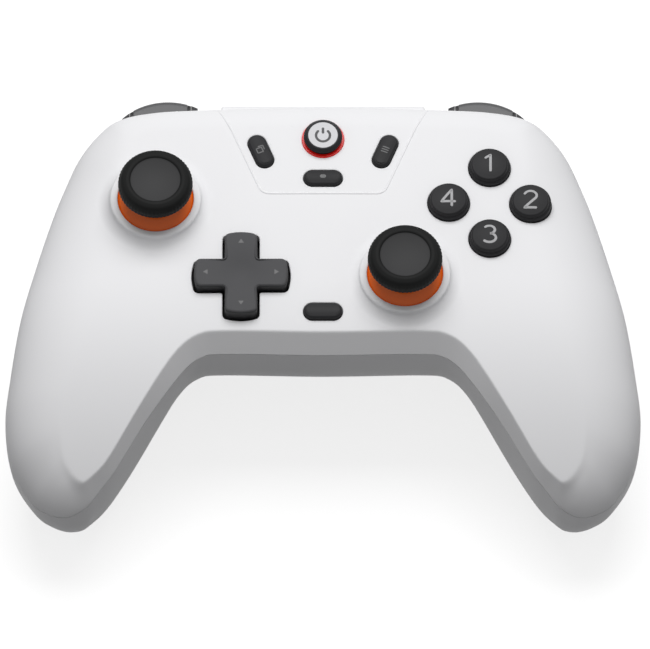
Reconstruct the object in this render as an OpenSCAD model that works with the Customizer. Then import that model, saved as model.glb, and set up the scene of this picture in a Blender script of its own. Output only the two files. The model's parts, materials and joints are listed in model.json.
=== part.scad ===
// Two-grip gamepad controller, built up from the pieces that come apart on a bench.
// Frame: +X to the player's right, +Y away from the player, +Z up out of the face.
// Millimetres. The origin lies on the rest plane, in the middle of the plan.

/* [Casing] */
// Width across the two grips
body_w = 155; // [152:0.5:158]
// Height of the face above the rest plane
face_z = 45; // [44.5:0.1:45.5]
// Wall thickness of both shells
wall = 2; // [1.8:0.1:2.2]
// Open line between the two shells
part_gap = 0.2; // [0.1:0.05:0.3]
// Fall of the face towards the sides, per square millimetre
face_crown = 0.0004; // [0.0003:0.0001:0.0005]
// Fall of the face along the grips, per square millimetre
grip_droop = 0.0055; // [0.005:0.0005:0.006]
// Height of the underside beside the battery hump
belly_z = 14; // [13:0.5:15]

/* [Sticks] */
// Place of the left stick
stick_left_at = [-40.9, 21.1];
// Place of the right stick
stick_right_at = [20, 0];
// Height of the stick pivots
pivot_z = 35.3; // [35.1:0.1:35.5]
// Radius of the hole in a stick collar
stick_hole_r = 9.3; // [9.2:0.05:9.4]
// Outer radius of a collar's rim
collar_r = 11.2; // [11:0.1:11.4]
// Height of a collar's lip above the pivot
lip_h = 11; // [10.8:0.1:11.2]
// Gap between the dome and the collar
dome_gap = 0.4; // [0.35:0.05:0.5]
// Radius of the stick cap
cap_r = 9.12; // [9:0.04:9.24]
// Height of the cap's top above the pivot
cap_top_h = 20.6; // [20.4:0.1:20.8]

/* [Controls] */
// Place of the direction pad
dpad_at = [-20, 0];
// Span of the direction pad over two arms
dpad_span = 24; // [23.6:0.1:24.4]
// Width of a direction pad arm
dpad_arm = 8.3; // [8.1:0.1:8.6]
// Middle of the four face buttons
face_buttons_at = [40.7, 20.8];
// Distance of a face button from that middle
face_button_pitch = 10; // [9.8:0.1:10.2]
// Radius of a face button at its skirt
face_button_r = 5.05; // [5:0.05:5.15]
// Travel of a face button
face_button_travel = 1.5; // [1.2:0.1:1.6]
// Travel of a small button
small_travel = 0.6; // [0.4:0.1:0.7]
// Place of the home button
home_at = [0, 38.6];
// Place of the pill button under the home button
capture_at = [0, 27.6];
// Place of the pill button near the front edge
mode_at = [0, -9.7];
// Place of the slanted pill button on the right
menu_at = [15.2, 35.2];
// Lean of the slanted pill buttons
pill_lean = 22; // [18:1:26]
// End radius of a pill button
pill_r = 2.2; // [2.1:0.05:2.3]
// Length of a pill button between its end centres
pill_run = 5; // [4.8:0.1:5.3]
// Gap round every button
button_gap = 0.25; // [0.22:0.01:0.3]

/* [Shoulders] */
// Middle of the right shoulder's round front
turret_at = [38, 37.1];
// Radius of a shoulder's round front
turret_r = 16; // [15.8:0.1:16.2]
// Height of the top of a bumper
turret_top = 39.4; // [39.2:0.1:39.5]
// Height of the bottom of a bumper
turret_bottom = 30.6; // [30.4:0.1:30.8]
// Radius of a trigger pin
trigger_pin_r = 1.25; // [1.2:0.05:1.3]
// Radius of a bumper pin
bumper_pin_r = 0.9; // [0.85:0.05:0.95]
// Running clearance between a pin and what turns on it
pin_play = 0.05; // [0.03:0.01:0.08]

/* [Inside] */
// Height of the main board's top face
board_top = 29.8; // [29.7:0.1:29.9]
// Thickness of the main board
board_t = 1.6; // [1.4:0.1:1.6]
// Size of the battery pack
battery_size = [40, 20, 7];
// Radius of a rumble motor's can
motor_r = 6; // [5.5:0.1:6.2]
// Length of a rumble motor's can
motor_len = 15; // [14:0.5:16]

/* [Hidden] */
$fn = 64;
white = [0.93, 0.93, 0.93];
charcoal = [0.24, 0.24, 0.25];
black = [0.12, 0.12, 0.12];
orange = [0.80, 0.33, 0.06];
red = [0.85, 0.12, 0.08];
steel = [0.72, 0.73, 0.75];
board_green = [0.08, 0.30, 0.16];
rubber_grey = [0.55, 0.55, 0.56];

SIDES = [-1, 1];
eps = 0.01;
// Shift of the plan that brings the middle of the bounding box to the origin
frame_shift = -1.03;
over = 40;
wide = body_w / 155;

// Rim of the right half, from the middle of the back edge round the grip to the middle of the front
// edge. Each row: x, y, fall from the face to the parting line, width of that edge, share of sloped
// band in it, width and exponent of the tuck under the back shell.
RIM_ROWS = [
  [0, 49.3, 3.5, 7, 0, 13, 2.3],
  [30, 48.8, 3.5, 7, 0, 13, 2.3],
  [42, 48.2, 3.6, 7, 0, 13, 2.3],
  [50, 46.7, 4.4, 8, 0, 13.5, 2.2],
  [55, 43.6, 6.3, 10.5, 0, 15, 2.1],
  [59.7, 37.8, 8, 14, 0, 16.5, 2],
  [63.4, 29.8, 9.5, 17, 0, 18, 2],
  [66.5, 21.4, 10.4, 18, 0, 18, 2],
  [70.4, 8.3, 11, 18, 0, 18, 2],
  [73.8, -5, 11.2, 18, 0, 18, 2],
  [76.3, -20, 11.6, 17, 0, 17, 2],
  [77.5, -31, 11.6, 16, 0, 16, 2],
  [76, -41.4, 10.4, 14, 0, 14, 2],
  [71.4, -49.4, 8.8, 13, 0, 13, 2],
  [67.5, -52.6, 7.6, 12, 0, 12, 2.1],
  [62.6, -54, 6.6, 9, 0.1, 11, 2.3],
  [57.8, -52.8, 5, 4, 0.7, 10, 2.6],
  [54.6, -49.9, 3.9, 2.4, 1, 9.5, 2.7],
  [50.5, -45.2, 3.7, 2, 1, 10, 2.6],
  [43.4, -34.6, 4.1, 2.2, 1, 12.5, 2.45],
  [37.3, -26.3, 4.4, 2.8, 1, 14, 2.3],
  [33.3, -21.5, 4.5, 3.2, 1, 14, 2.15],
  [29.5, -18.9, 4.5, 3.6, 1, 14, 2.05],
  [24, -18.2, 4.5, 3.7, 1, 14, 2.05],
  [0, -18.6, 4.5, 3.7, 1, 14, 2.05]
];
RIM_STEPS = 4;
// How fast a place on the rim loses weight with distance, and where the weighted mean takes over
rim_fade = 8;
mean_from = 3;
mean_to = 7;
SKIN_STATIONS = 48;
SKIN_STEPS = 24;
PLUG_STATIONS = 24;
PLUG_STEPS = 12;

// Where the face starts to fall along the grips, and the lowest line of the grips
droop_y = 0;
grip_low_y = -33;
// Softness of the crease at the top of the sloped band
crease = 0.05;
// Battery hump: half width, front and back of its flat, and the run of its slopes
hump_half = 24;
hump_front = 4;
hump_back = 26;
hump_run = [10, 12, 12];
// Where the belly passes over into the grips
grip_from = 28;
grip_to = 48;

dome_r = norm([stick_hole_r, lip_h]) - dome_gap;
dome_wall = 1.2;
dome_reach = 68;
collar_top = pivot_z + lip_h + 0.4;
flank_r = 2.2;
collar_toe = 0.5;
collar_edge = 0.4;
cap_under_h = 16.2;
cap_disc_r = 6.1;
neck_r = 3.2;
shaft_r = 2;
cavity = 11.5;
housing_w = 15;
housing_top_h = 4;
rocker_pin_r = 1;

trigger_pin_at = [41.2, 27.5];
bumper_pin_at = [40.4, 36.2];
bulkhead_y = 35.7;
bulkhead_t = 1.4;
shoulder_floor = 17.5;
bulkhead_z = [shoulder_floor + 0.1, 37];
// Edges along X of the shoulder's opening, its cheeks and the bumper between them
shoulder_x = [30.4, 49.7];
cheek_in = [30.7, 32.3];
cheek_out = [47.4, 49.3];
bumper_x = [32.65, 47.05];
trigger_half = 9.1;
// Switch under a bumper, and the shelf that carries it
bumper_switch_at = [40.1, 43.2, 31.9];
shelf = [5.6, 7.6, 1];

// Side profile of a trigger's finger pad, [y, z], joined by a closed smooth curve
TRIGGER_POINTS = [[45.2, 28.4], [50, 28.4], [52.8, 27], [53.4, 22], [52.9, 17], [53.6, 12.5],
  [56, 8.8], [55, 7.4], [52, 8], [48.5, 12], [46.2, 18], [45.2, 24]];
trigger_middle = [49.6, 18];

case_screws_at = [[58, 8], [62, -36]];
case_split_z = 24;
case_head_z = 21.5;
case_screw_r = 1.3;
board_screws_at = [[26, 31], [47, -6]];
board_screw_r = 1;

bridge_half = 24.9;
bridge_y = 50.9;
bridge_back = 43.4;
bridge_z = [28, 41.1];
usb_z = board_top + 1.63;
usb_size = [8.94, 7.3, 3.26];
usb_mouth = [8.34, 2.56];
motor_at = [56.5, -6, 21];
battery_at = [0, 15];

// Small helpers
function mix(a, b, t) = a + (b - a) * t;
function clip01(t) = max(0, min(1, t));
function ease(a, b, v) = let (t = clip01((v - a) / (b - a))) t * t * (3 - 2 * t);
function unit(v) = v / norm(v);
function cubic(a, b, c, d, t) =
  0.5 * (2 * b + (c - a) * t + (2 * a - 5 * b + 4 * c - d) * t * t + (3 * b - a - 3 * c + d) * t * t * t);

// Smooth closed curve through a ring of points
function ring_curve(p, steps) = [for (i = [0:len(p) - 1]) for (s = [0:steps - 1])
  let (n = len(p)) cubic(p[(i + n - 1) % n], p[i], p[(i + 1) % n], p[(i + 2) % n], s / steps)];

// Rim of the right half as a smooth curve through its rows
function rim_row(i) =
  let (last = len(RIM_ROWS) - 1, r = RIM_ROWS[i < 0 ? -i : i > last ? 2 * last - i : i])
  [for (c = [0:len(r) - 1]) c > 0 ? r[c] : (i < 0 || i > last ? -1 : 1) * wide * r[0]];
RIM = concat([for (i = [0:len(RIM_ROWS) - 2]) for (s = [0:RIM_STEPS - 1])
  cubic(rim_row(i - 1), rim_row(i), rim_row(i + 1), rim_row(i + 2), s / RIM_STEPS)],
  [rim_row(len(RIM_ROWS) - 1)]);
RIM_XY = [for (r = RIM) [r[0], r[1]]];
half_w = max([for (p = RIM_XY) p[0]]);
widest = [for (i = [0:len(RIM_XY) - 1]) if (RIM_XY[i][0] == half_w) i][0];
BACK_EDGE = [for (i = [0:widest]) RIM_XY[i]];
FRONT_EDGE = [for (i = [len(RIM_XY) - 1:-1:widest]) RIM_XY[i]];

// Nearest place on the rim: distance, and the rim's values there, which pass into a mean over the rim
// weighted by nearness, so that the grips have no seam where the nearest side changes
RIM_RUN = [for (i = [0:len(RIM_XY) - 2]) norm(RIM_XY[i + 1] - RIM_XY[i])];
function along(p, a, b) = clip01((p - a) * (b - a) / ((b - a) * (b - a)));
function rim_hit(p) =
  let (last = len(RIM_XY) - 2,
    ts = [for (i = [0:last]) along(p, RIM_XY[i], RIM_XY[i + 1])],
    ds = [for (i = [0:last]) norm(p - mix(RIM_XY[i], RIM_XY[i + 1], ts[i]))],
    d = min(ds), k = [for (i = [0:last]) if (ds[i] == d) i][0],
    rows = [for (i = [0:last]) mix(RIM[i], RIM[i + 1], ts[i])],
    ws = [for (i = [0:last]) RIM_RUN[i] * pow(max(1, ds[i]) / max(1, d), -rim_fade)],
    mean = ws * rows / (ws * [for (w = ws) 1]))
  [d, mix(rows[k], mean, ease(mean_from, mean_to, d))];

// Height of the plain face, of the belly and of the parting line
function face_at(x, y) = face_z - face_crown * x * x - grip_droop * pow(max(0, droop_y - y), 2);
function belly_at(x, y) =
  let (grip = belly_z * pow((min(y, 0) - grip_low_y) / grip_low_y, 2),
    across = 1 - ease(hump_half, hump_half + hump_run[0], abs(x)),
    lengthwise = ease(hump_front - hump_run[1], hump_front, y)
      * (1 - ease(hump_back, hump_back + hump_run[2], y)))
  mix(belly_z * (1 - across * lengthwise), grip, ease(grip_from, grip_to, abs(x)));
function rim_z(row) = face_at(row[0], row[1]) - row[2];

// Outer skins: the edge falls from the face by a rolled quarter ellipse or a sloped band, and the
// underside tucks in from the parting line by a superellipse
function top_at(x, y) =
  let (hit = rim_hit([abs(x), y]), row = hit[1], q = 1 - clip01(hit[0] / row[3]),
    s = 1 - hit[0] / row[3],
    roll = 1 - sqrt(1 - q * q),
    band = (s + sqrt(s * s + crease * crease)) / (1 + sqrt(1 + crease * crease)))
  face_at(x, y) - row[2] * mix(roll, band, clip01(row[4]));
function under_at(x, y) =
  let (hit = rim_hit([abs(x), y]), row = hit[1], q = 1 - clip01(hit[0] / row[5]),
    tuck = 1 - pow(1 - pow(q, row[6]), 1 / row[6]), belly = belly_at(x, y))
  belly + (rim_z(row) - part_gap - belly) * tuck;

// A skin is a list of stations along X, each a row of points from the front edge to the back edge
function station_x(i, n) = half_w * sin(180 * i / n - 90);
function station_y(x, j, m) =
  mix(lookup(abs(x), FRONT_EDGE), lookup(abs(x), BACK_EDGE), (1 - cos(180 * j / m)) / 2);
function skin_xy(n, m) = [for (i = [1:n - 1]) let (x = station_x(i, n))
  [for (j = [0:m]) [x, station_y(x, j, m)]]];
function top_skin(n, m) = [for (row = skin_xy(n, m)) [for (p = row) [p[0], p[1], top_at(p[0], p[1])]]];
function under_skin(n, m) =
  [for (row = skin_xy(n, m)) [for (p = row) [p[0], p[1], under_at(p[0], p[1])]]];
function skin_pole(side, gap) = [side * half_w, RIM_XY[widest][1], rim_z(RIM[widest]) - gap];

// Wall offset of a skin along its normals, level at the rim and kept on its own side of the parting line
rim_wall = 1.2 * wall;
function rim_out(t, back) = unit(back ? [-t[1], t[0]] : [t[1], -t[0]]);
function inner_point(g, i, j, up) =
  let (n = len(g) - 1, m = len(g[0]) - 1, p = g[i][j],
    dx = g[min(n, i + 1)][j] - g[max(0, i - 1)][j],
    dy = g[i][min(m, j + 1)] - g[i][max(0, j - 1)],
    edge = g[i][j < m / 2 ? 0 : m],
    q = p - wall * up * unit(cross(dx, dy)))
  j == 0 || j == m
    ? let (o = rim_out(dx, j == m)) [p[0] - rim_wall * o[0], p[1] - rim_wall * o[1], p[2]]
    : [q[0], q[1], up > 0 ? max(q[2], edge[2]) : min(q[2], edge[2])];
function inner_skin(g, up) =
  [for (i = [0:len(g) - 1]) [for (j = [0:len(g[0]) - 1]) inner_point(g, i, j, up)]];
function shifted(g, dz) = [for (row = g) [for (p = row) p + [0, 0, dz]]];
function levelled(g, z) = [for (row = g) [for (p = row) [p[0], p[1], z]]];

// Triangles of a tube of rings, of one sheet with a pole at each end, and of the strip that joins two
// sheets at the rim
function ring_tris(n, m) =
  concat([for (i = [0:n - 2]) for (j = [0:m - 1]) let (a = i * m + j, b = i * m + (j + 1) % m) [a, b, b + m]],
    [for (i = [0:n - 2]) for (j = [0:m - 1])
      let (a = i * m + j, b = i * m + (j + 1) % m) [a, b + m, a + m]]);
function sheet_tris(base, n, m) =
  let (w = m + 1, left = base + n * w, right = left + 1, tail = base + (n - 1) * w)
  concat([for (i = [0:n - 2]) for (j = [0:m - 1]) let (a = base + i * w + j) [a, a + 1, a + w + 1]],
    [for (i = [0:n - 2]) for (j = [0:m - 1]) let (a = base + i * w + j) [a, a + w + 1, a + w]],
    [for (j = [0:m - 1]) [left, base + j + 1, base + j]],
    [for (j = [0:m - 1]) [right, tail + j, tail + j + 1]]);
function edge_chain(base, n, m, j) =
  concat([base + n * (m + 1)], [for (i = [0:n - 1]) base + i * (m + 1) + j], [base + n * (m + 1) + 1]);
function strip_tris(a, b) = concat([for (i = [0:len(a) - 2]) [a[i], a[i + 1], b[i + 1]]],
  [for (i = [0:len(a) - 2]) [a[i], b[i + 1], b[i]]]);
function turned(tris) = [for (t = tris) [t[2], t[1], t[0]]];

// Closed wall between an outer and an inner sheet
module two_sheets(outer, inner, outer_poles, inner_poles, up) {
  n = len(outer);
  m = len(outer[0]) - 1;
  second = n * (m + 1) + 2;
  points = concat([for (row = outer) for (p = row) p], outer_poles,
    [for (row = inner) for (p = row) p], inner_poles);
  tris = concat(sheet_tris(0, n, m), turned(sheet_tris(second, n, m)),
    strip_tris(edge_chain(0, n, m, 0), edge_chain(second, n, m, 0)),
    strip_tris(edge_chain(second, n, m, m), edge_chain(0, n, m, m)));
  polyhedron(points, up > 0 ? tris : turned(tris));
}
module top_wall() {
  skin = top_skin(SKIN_STATIONS, SKIN_STEPS);
  two_sheets(skin, inner_skin(skin, 1), [for (s = SIDES) skin_pole(s, 0)],
    [for (s = SIDES) skin_pole(s, 0) - [s * wall, 0, 0]], 1);
}
module under_wall() {
  skin = under_skin(SKIN_STATIONS, SKIN_STEPS);
  two_sheets(skin, inner_skin(skin, -1), [for (s = SIDES) skin_pole(s, part_gap)],
    [for (s = SIDES) skin_pole(s, part_gap) - [s * wall, 0, 0]], -1);
}

// Space inside the middle of a wall, which trims posts to it
module top_room() {
  skin = shifted(top_skin(PLUG_STATIONS, PLUG_STEPS), -wall / 2);
  two_sheets(skin, levelled(skin, -over), [for (s = SIDES) skin_pole(s, wall / 2)],
    [for (s = SIDES) [s * half_w, RIM_XY[widest][1], -over]], 1);
}
module under_room() {
  skin = shifted(under_skin(PLUG_STATIONS, PLUG_STEPS), wall / 2);
  two_sheets(skin, levelled(skin, 2 * over), [for (s = SIDES) skin_pole(s, -wall / 2)],
    [for (s = SIDES) [s * half_w, RIM_XY[widest][1], 2 * over]], -1);
}

// Shared small shapes
module placed() translate([0, frame_shift, 0]) children();
module at(p, z = 0) translate([p[0], p[1], z]) children();
module left_right() for (s = SIDES) scale_x(s) children();
module scale_x(s) mirror([s < 0 ? 1 : 0, 0, 0]) children();
module tube_x(r, x0, x1, yz) translate([x0, yz[0], yz[1]]) rotate([0, 90, 0]) cylinder(r = r, h = x1 - x0);
module slab_x(x0, x1) translate([x0, -2 * over, -over]) cube([x1 - x0, 4 * over, 4 * over]);
module side_plate(x0, x1) translate([x0, 0, 0]) rotate([90, 0, 90]) linear_extrude(x1 - x0) children();
module pill_flat(run, r) {
  square([run, 2 * r], center = true);
  for (s = SIDES) translate([s * run / 2, 0]) circle(r);
}
module round_box_flat(size, r) {
  square([size[0] - 2 * r, size[1]], center = true);
  square([size[0], size[1] - 2 * r], center = true);
  for (x = SIDES) for (y = SIDES) translate([x * (size[0] / 2 - r), y * (size[1] / 2 - r)]) circle(r);
}

// Front shell
module stick_collar(p) {
  foot = face_at(p[0], p[1]) - 0.8 * wall;
  toe = face_at(p[0], p[1]) - collar_toe;
  rise = collar_top - collar_edge - toe;
  flank = [for (a = [90:-15:0]) [collar_r + flank_r * (1 - cos(a)), toe + rise * (1 - sin(a))]];
  at(p) rotate_extrude() polygon(concat([[collar_r - 4, foot], [collar_r + flank_r, foot]], flank,
    [[collar_r - collar_edge, collar_top], [collar_r - 4, collar_top - 0.9]]));
}
module stick_opening(p) at(p, pivot_z) sphere(dome_r + dome_gap);
module dpad_flat(grow) intersection() {
  union() {
    square([dpad_span + 2, dpad_arm + 2 * grow], center = true);
    square([dpad_arm + 2 * grow, dpad_span + 2], center = true);
  }
  circle(dpad_span / 2 + grow);
}
module face_hole(p, r) at(p, face_z - over / 4) cylinder(r = r, h = over);
module pill_hole(p, turn) at(p, face_z - over / 4) rotate(turn) linear_extrude(over)
  pill_flat(pill_run, pill_r + button_gap);
function menu_turn(s) = 90 - s * pill_lean;
function face_button_at(k) = face_buttons_at + face_button_pitch * [sin(90 * k), cos(90 * k)];
module control_openings() {
  for (k = [0:3]) face_hole(face_button_at(k), face_button_r + button_gap);
  face_hole(home_at, home_ring_r + eps);
  pill_hole(capture_at, 0);
  pill_hole(mode_at, 0);
  for (s = SIDES) pill_hole([s * menu_at[0], menu_at[1]], menu_turn(s));
  at(dpad_at, face_z - over / 4) linear_extrude(over) dpad_flat(dpad_gap);
}
module front_shell() color(white) placed() difference() {
  union() {
    top_wall();
    stick_collar(stick_left_at);
    stick_collar(stick_right_at);
    intersection() {
      left_right() for (p = case_screws_at) at(p, case_split_z) cylinder(r = 3, h = over);
      top_room();
    }
  }
  stick_opening(stick_left_at);
  stick_opening(stick_right_at);
  control_openings();
  left_right() for (p = case_screws_at) at(p, case_split_z - 1)
    cylinder(r = case_screw_r + 0.02, h = 9.4);
}

// Back shell
module back_posts() {
  left_right() for (p = case_screws_at) at(p) cylinder(r = 4, h = case_split_z - part_gap);
  left_right() for (p = board_screws_at) at(p) cylinder(r = 2.6, h = board_top - board_t);
}
module motor_saddle() {
  for (y = [2, motor_len - 4]) translate([motor_at[0] - 7.5, motor_at[1] - y, 0])
    cube([15, 1.6, motor_at[2]]);
}
module shoulder_space() {
  for (c = [[bulkhead_y - 0.5, shoulder_floor], [41.6, 4]]) translate([shoulder_x[0], c[0], c[1]])
    cube([shoulder_x[1] - shoulder_x[0], over, over]);
}
module back_shell() color(white) placed() difference() {
  union() {
    under_wall();
    intersection() {
      union() {
        back_posts();
        left_right() motor_saddle();
      }
      under_room();
    }
  }
  left_right() for (p = case_screws_at) at(p, -over) cylinder(r = 2.6, h = over + case_head_z);
  left_right() for (p = case_screws_at) at(p) cylinder(r = case_screw_r + 0.2, h = over);
  left_right() for (p = board_screws_at) at(p, board_top - board_t - 7)
    cylinder(r = board_screw_r + 0.02, h = over);
  left_right() tube_y(motor_r + 0.02, motor_at, motor_len + 1);
  left_right() shoulder_space();
  translate([-bridge_half - 0.3, 43, bridge_z[0] - 0.05]) cube([2 * bridge_half + 0.6, over, over]);
}

// Bridge between the shoulders, with the charging port's slot
module bridge_profile() polygon([[bridge_back, bridge_z[1] - 1.6], [bridge_back + 4, bridge_z[1]],
  [bridge_y - 1.6, bridge_z[1]], [bridge_y - 0.5, bridge_z[1] - 0.5], [bridge_y, bridge_z[1] - 1.6],
  [bridge_y, 33], [bridge_y - 0.6, 30], [bridge_y - 2.4, bridge_z[0]], [bridge_back, bridge_z[0]]]);
module top_bridge() color(white) placed() difference() {
  side_plate(-bridge_half, bridge_half) bridge_profile();
  translate([-bridge_half + 2, 40, bridge_z[0] + 1.6])
    cube([2 * bridge_half - 4, bridge_y - 2.2 - 40, bridge_z[1] - bridge_z[0] - 4]);
  translate([0, 40, usb_z]) rotate([-90, 0, 0]) linear_extrude(over)
    round_box_flat([usb_size[0] + 0.3, usb_size[2] + 0.3], 1.4);
  translate([-bridge_half - 1, 40, bridge_z[0] - 1])
    cube([2 * bridge_half + 2, 47 - 40, board_top + 0.3 - bridge_z[0] + 1]);
}

// Shoulders: bracket, bumper, trigger. All are drawn on the right and mirrored.
module turret() at(turret_at) rotate_extrude()
  polygon([[0, turret_bottom], [turret_r - 0.8, turret_bottom], [turret_r, turret_bottom + 0.8],
    [turret_r, turret_top - 1.4], [turret_r - 0.4, turret_top - 0.4], [turret_r - 1.4, turret_top],
    [0, turret_top]]);
module cheek_profile() {
  translate([bulkhead_y, 22]) square([trigger_pin_at[0] - bulkhead_y, 14.2]);
  translate(trigger_pin_at) circle(2.7);
  translate([bulkhead_y, 31]) square([6, 5.2]);
  translate(bumper_pin_at) circle(2.4);
}
module shoulder_bracket() difference() {
  union() {
    for (x = [cheek_in, cheek_out]) side_plate(x[0], x[1]) cheek_profile();
    intersection() {
      turret();
      union() {
        slab_x(cheek_in[0], cheek_in[1]);
        slab_x(cheek_out[0], cheek_out[1]);
      }
      translate([0, bumper_pin_at[0], 0]) cube(2 * over);
    }
    translate([cheek_in[0], bulkhead_y, bulkhead_z[0]])
      cube([cheek_out[1] - cheek_in[0], bulkhead_t, bulkhead_z[1] - bulkhead_z[0]]);
    translate([bumper_switch_at[0] - shelf[0] / 2, bulkhead_y, bumper_switch_at[2] - shelf[2]]) cube(shelf);
  }
  tube_x(trigger_pin_r + 0.02, cheek_in[0] - 1, cheek_out[1] + 1, trigger_pin_at);
  tube_x(bumper_pin_r + 0.02, cheek_in[0] - 1, cheek_out[1] + 1, bumper_pin_at);
}
module shoulder_bracket_left() color(charcoal) placed() scale_x(-1) shoulder_bracket();
module shoulder_bracket_right() color(charcoal) placed() shoulder_bracket();

module bumper() difference() {
  union() {
    intersection() {
      difference() {
        turret();
        at(turret_at, -over) cylinder(r = turret_r - 2.2, h = over + turret_top - 2);
      }
      slab_x(bumper_x[0], bumper_x[1]);
      translate([0, 45, 0]) cube(2 * over);
    }
    for (x = [bumper_x[0], bumper_x[1] - 2.4]) side_plate(x, x + 2.4) bumper_arm();
    translate([bumper_x[0], 42.4, 34.6]) cube([bumper_x[1] - bumper_x[0], 1.6, 2.8]);
    translate([38.6, 42.4, 34.2]) cube([3, 1.6, 0.6]);
  }
  tube_x(bumper_pin_r + pin_play, bumper_x[0] - 1, bumper_x[1] + 1, bumper_pin_at);
}
module bumper_arm() {
  translate(bumper_pin_at) circle(1.9);
  translate([bumper_pin_at[0], bumper_pin_at[1] - 1.6]) square([6, 2.8]);
}
module bumper_left() color(charcoal) placed() scale_x(-1) bumper();
module bumper_right() color(charcoal) placed() bumper();
module bumper_pin() tube_x(bumper_pin_r, cheek_in[0], cheek_out[1], bumper_pin_at);
module bumper_pin_left() color(steel) placed() scale_x(-1) bumper_pin();
module bumper_pin_right() color(steel) placed() bumper_pin();
module bumper_switches() color(steel) placed() left_right() translate(bumper_switch_at) {
  translate([-2, -4.2, 0]) cube([4, 4, 1.2]);
  translate([0, -1, 1.2 - eps]) cylinder(r = 0.6, h = 0.75);
}

// Finger pad of a trigger: the side profile carried along X, drawn in at both ends
PAD_STATIONS = [-1, -0.96, -0.86, -0.7, -0.35, 0, 0.35, 0.7, 0.86, 0.96, 1];
function pad_scale(s) = 1 - 0.13 * (1 - sqrt(1 - pow(clip01((abs(s) - 0.7) / 0.3), 2)));
function pad_ring(s) = [for (p = ring_curve(TRIGGER_POINTS, 2))
  let (q = trigger_middle + (p - trigger_middle) * pad_scale(s))
  [(shoulder_x[0] + shoulder_x[1]) / 2 + s * trigger_half, q[0] - 1.1 * s * s, q[1]]];
module trigger_pad() {
  rings = [for (s = PAD_STATIONS) pad_ring(s)];
  n = len(rings);
  m = len(rings[0]);
  ends = [for (s = [-1, 1]) [(shoulder_x[0] + shoulder_x[1]) / 2 + s * trigger_half,
    trigger_middle[0] - 1.1, trigger_middle[1]]];
  tris = concat(ring_tris(n, m),
    [for (j = [0:m - 1]) [n * m, (j + 1) % m, j]],
    [for (j = [0:m - 1]) [n * m + 1, (n - 1) * m + j, (n - 1) * m + (j + 1) % m]]);
  polyhedron(concat([for (r = rings) for (p = r) p], ends), tris);
}
module trigger_lug() {
  translate(trigger_pin_at) circle(2.7);
  polygon([[41.2, 30.2], [47.5, 28], [48, 20], [45.4, 21], [41.2, 24.8]]);
}
module trigger() difference() {
  union() {
    trigger_pad();
    side_plate(32.7, 37) trigger_lug();
    side_plate(43.2, 47) trigger_lug();
  }
  tube_x(trigger_pin_r + pin_play, 32, 48, trigger_pin_at);
}
module trigger_left() color(charcoal) placed() scale_x(-1) trigger();
module trigger_right() color(charcoal) placed() trigger();
module trigger_pin() tube_x(trigger_pin_r, cheek_in[0], cheek_out[1], trigger_pin_at);
module trigger_pin_left() color(steel) placed() scale_x(-1) trigger_pin();
module trigger_pin_right() color(steel) placed() trigger_pin();

// Torsion spring round a trigger pin, between the trigger's two lugs
SPRING_TURNS = 4;
SPRING_RINGS = 8;
SPRING_SIDES = 6;
spring_r = 2;
spring_wire = 0.3;
function spring_at(t) = [37.7 + 4.8 * t / SPRING_TURNS, trigger_pin_at[0] + spring_r * cos(360 * t),
  trigger_pin_at[1] + spring_r * sin(360 * t)];
function spring_side(t, k) = let (a = 360 * k / SPRING_SIDES, o = [0, cos(360 * t), sin(360 * t)])
  spring_at(t) + spring_wire * (cos(a) * o + sin(a) * [1, 0, 0]);
module trigger_spring() {
  n = SPRING_TURNS * SPRING_RINGS;
  k = SPRING_SIDES;
  points = [for (i = [0:n]) for (j = [0:k - 1]) spring_side(i / SPRING_RINGS, j)];
  tris = concat(ring_tris(n + 1, k),
    [for (j = [1:k - 2]) [0, j + 1, j]],
    [for (j = [1:k - 2]) [n * k, n * k + j, n * k + j + 1]]);
  polyhedron(points, tris);
}
module trigger_spring_left() color(steel) placed() scale_x(-1) trigger_spring();
module trigger_spring_right() color(steel) placed() trigger_spring();

// Thumbsticks: cap, dome, shaft and the crossed rockers in their housing
function arc(r, a0, a1, n) = [for (i = [0:n]) let (a = mix(a0, a1, i / n)) r * [sin(a), cos(a)]];
module stick_cap() rotate_extrude($fn = 96) polygon([[0, cap_under_h], [cap_r - 1.3, cap_under_h],
  [cap_r - 0.4, cap_under_h + 0.4], [cap_r, cap_under_h + 1.1], [cap_r, cap_top_h - 1.9],
  [cap_r - 0.3, cap_top_h - 1], [cap_r - 1, cap_top_h - 0.3], [cap_r - 2.1, cap_top_h],
  [cap_disc_r + 0.25, cap_top_h - 0.12], [cap_disc_r, cap_top_h - 0.34],
  [cap_disc_r / 2, cap_top_h - 1.05], [0, cap_top_h - 1.3]]);
module stick_dome() difference() {
  union() {
    rotate_extrude($fn = 96) polygon(concat(arc(dome_r, 0, dome_reach, 24),
      arc(dome_r - dome_wall, dome_reach, 0, 24)));
    translate([0, 0, 7.6]) cylinder(r = neck_r, h = cap_under_h - 7.6);
  }
  translate([0, 0, 7]) cylinder(r = shaft_r + pin_play, h = 13.6 - 7);
}
module stick_shaft() {
  translate([0, 0, -3.2]) cylinder(r = shaft_r, h = 16);
  rotate([90, 0, 0]) cylinder(r = 0.8, h = 6.6, center = true);
}
module stick_rocker() difference() {
  union() {
    cube([8.4, 6.6, 3.6], center = true);
    tube_x(rocker_pin_r, -7.3, 7.3, [0, 0]);
  }
  translate([0, 0, -over / 2]) linear_extrude(over) square([6, 2 * shaft_r + 0.1], center = true);
  rotate([90, 0, 0]) cylinder(r = 0.85, h = 8, center = true);
}
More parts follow.
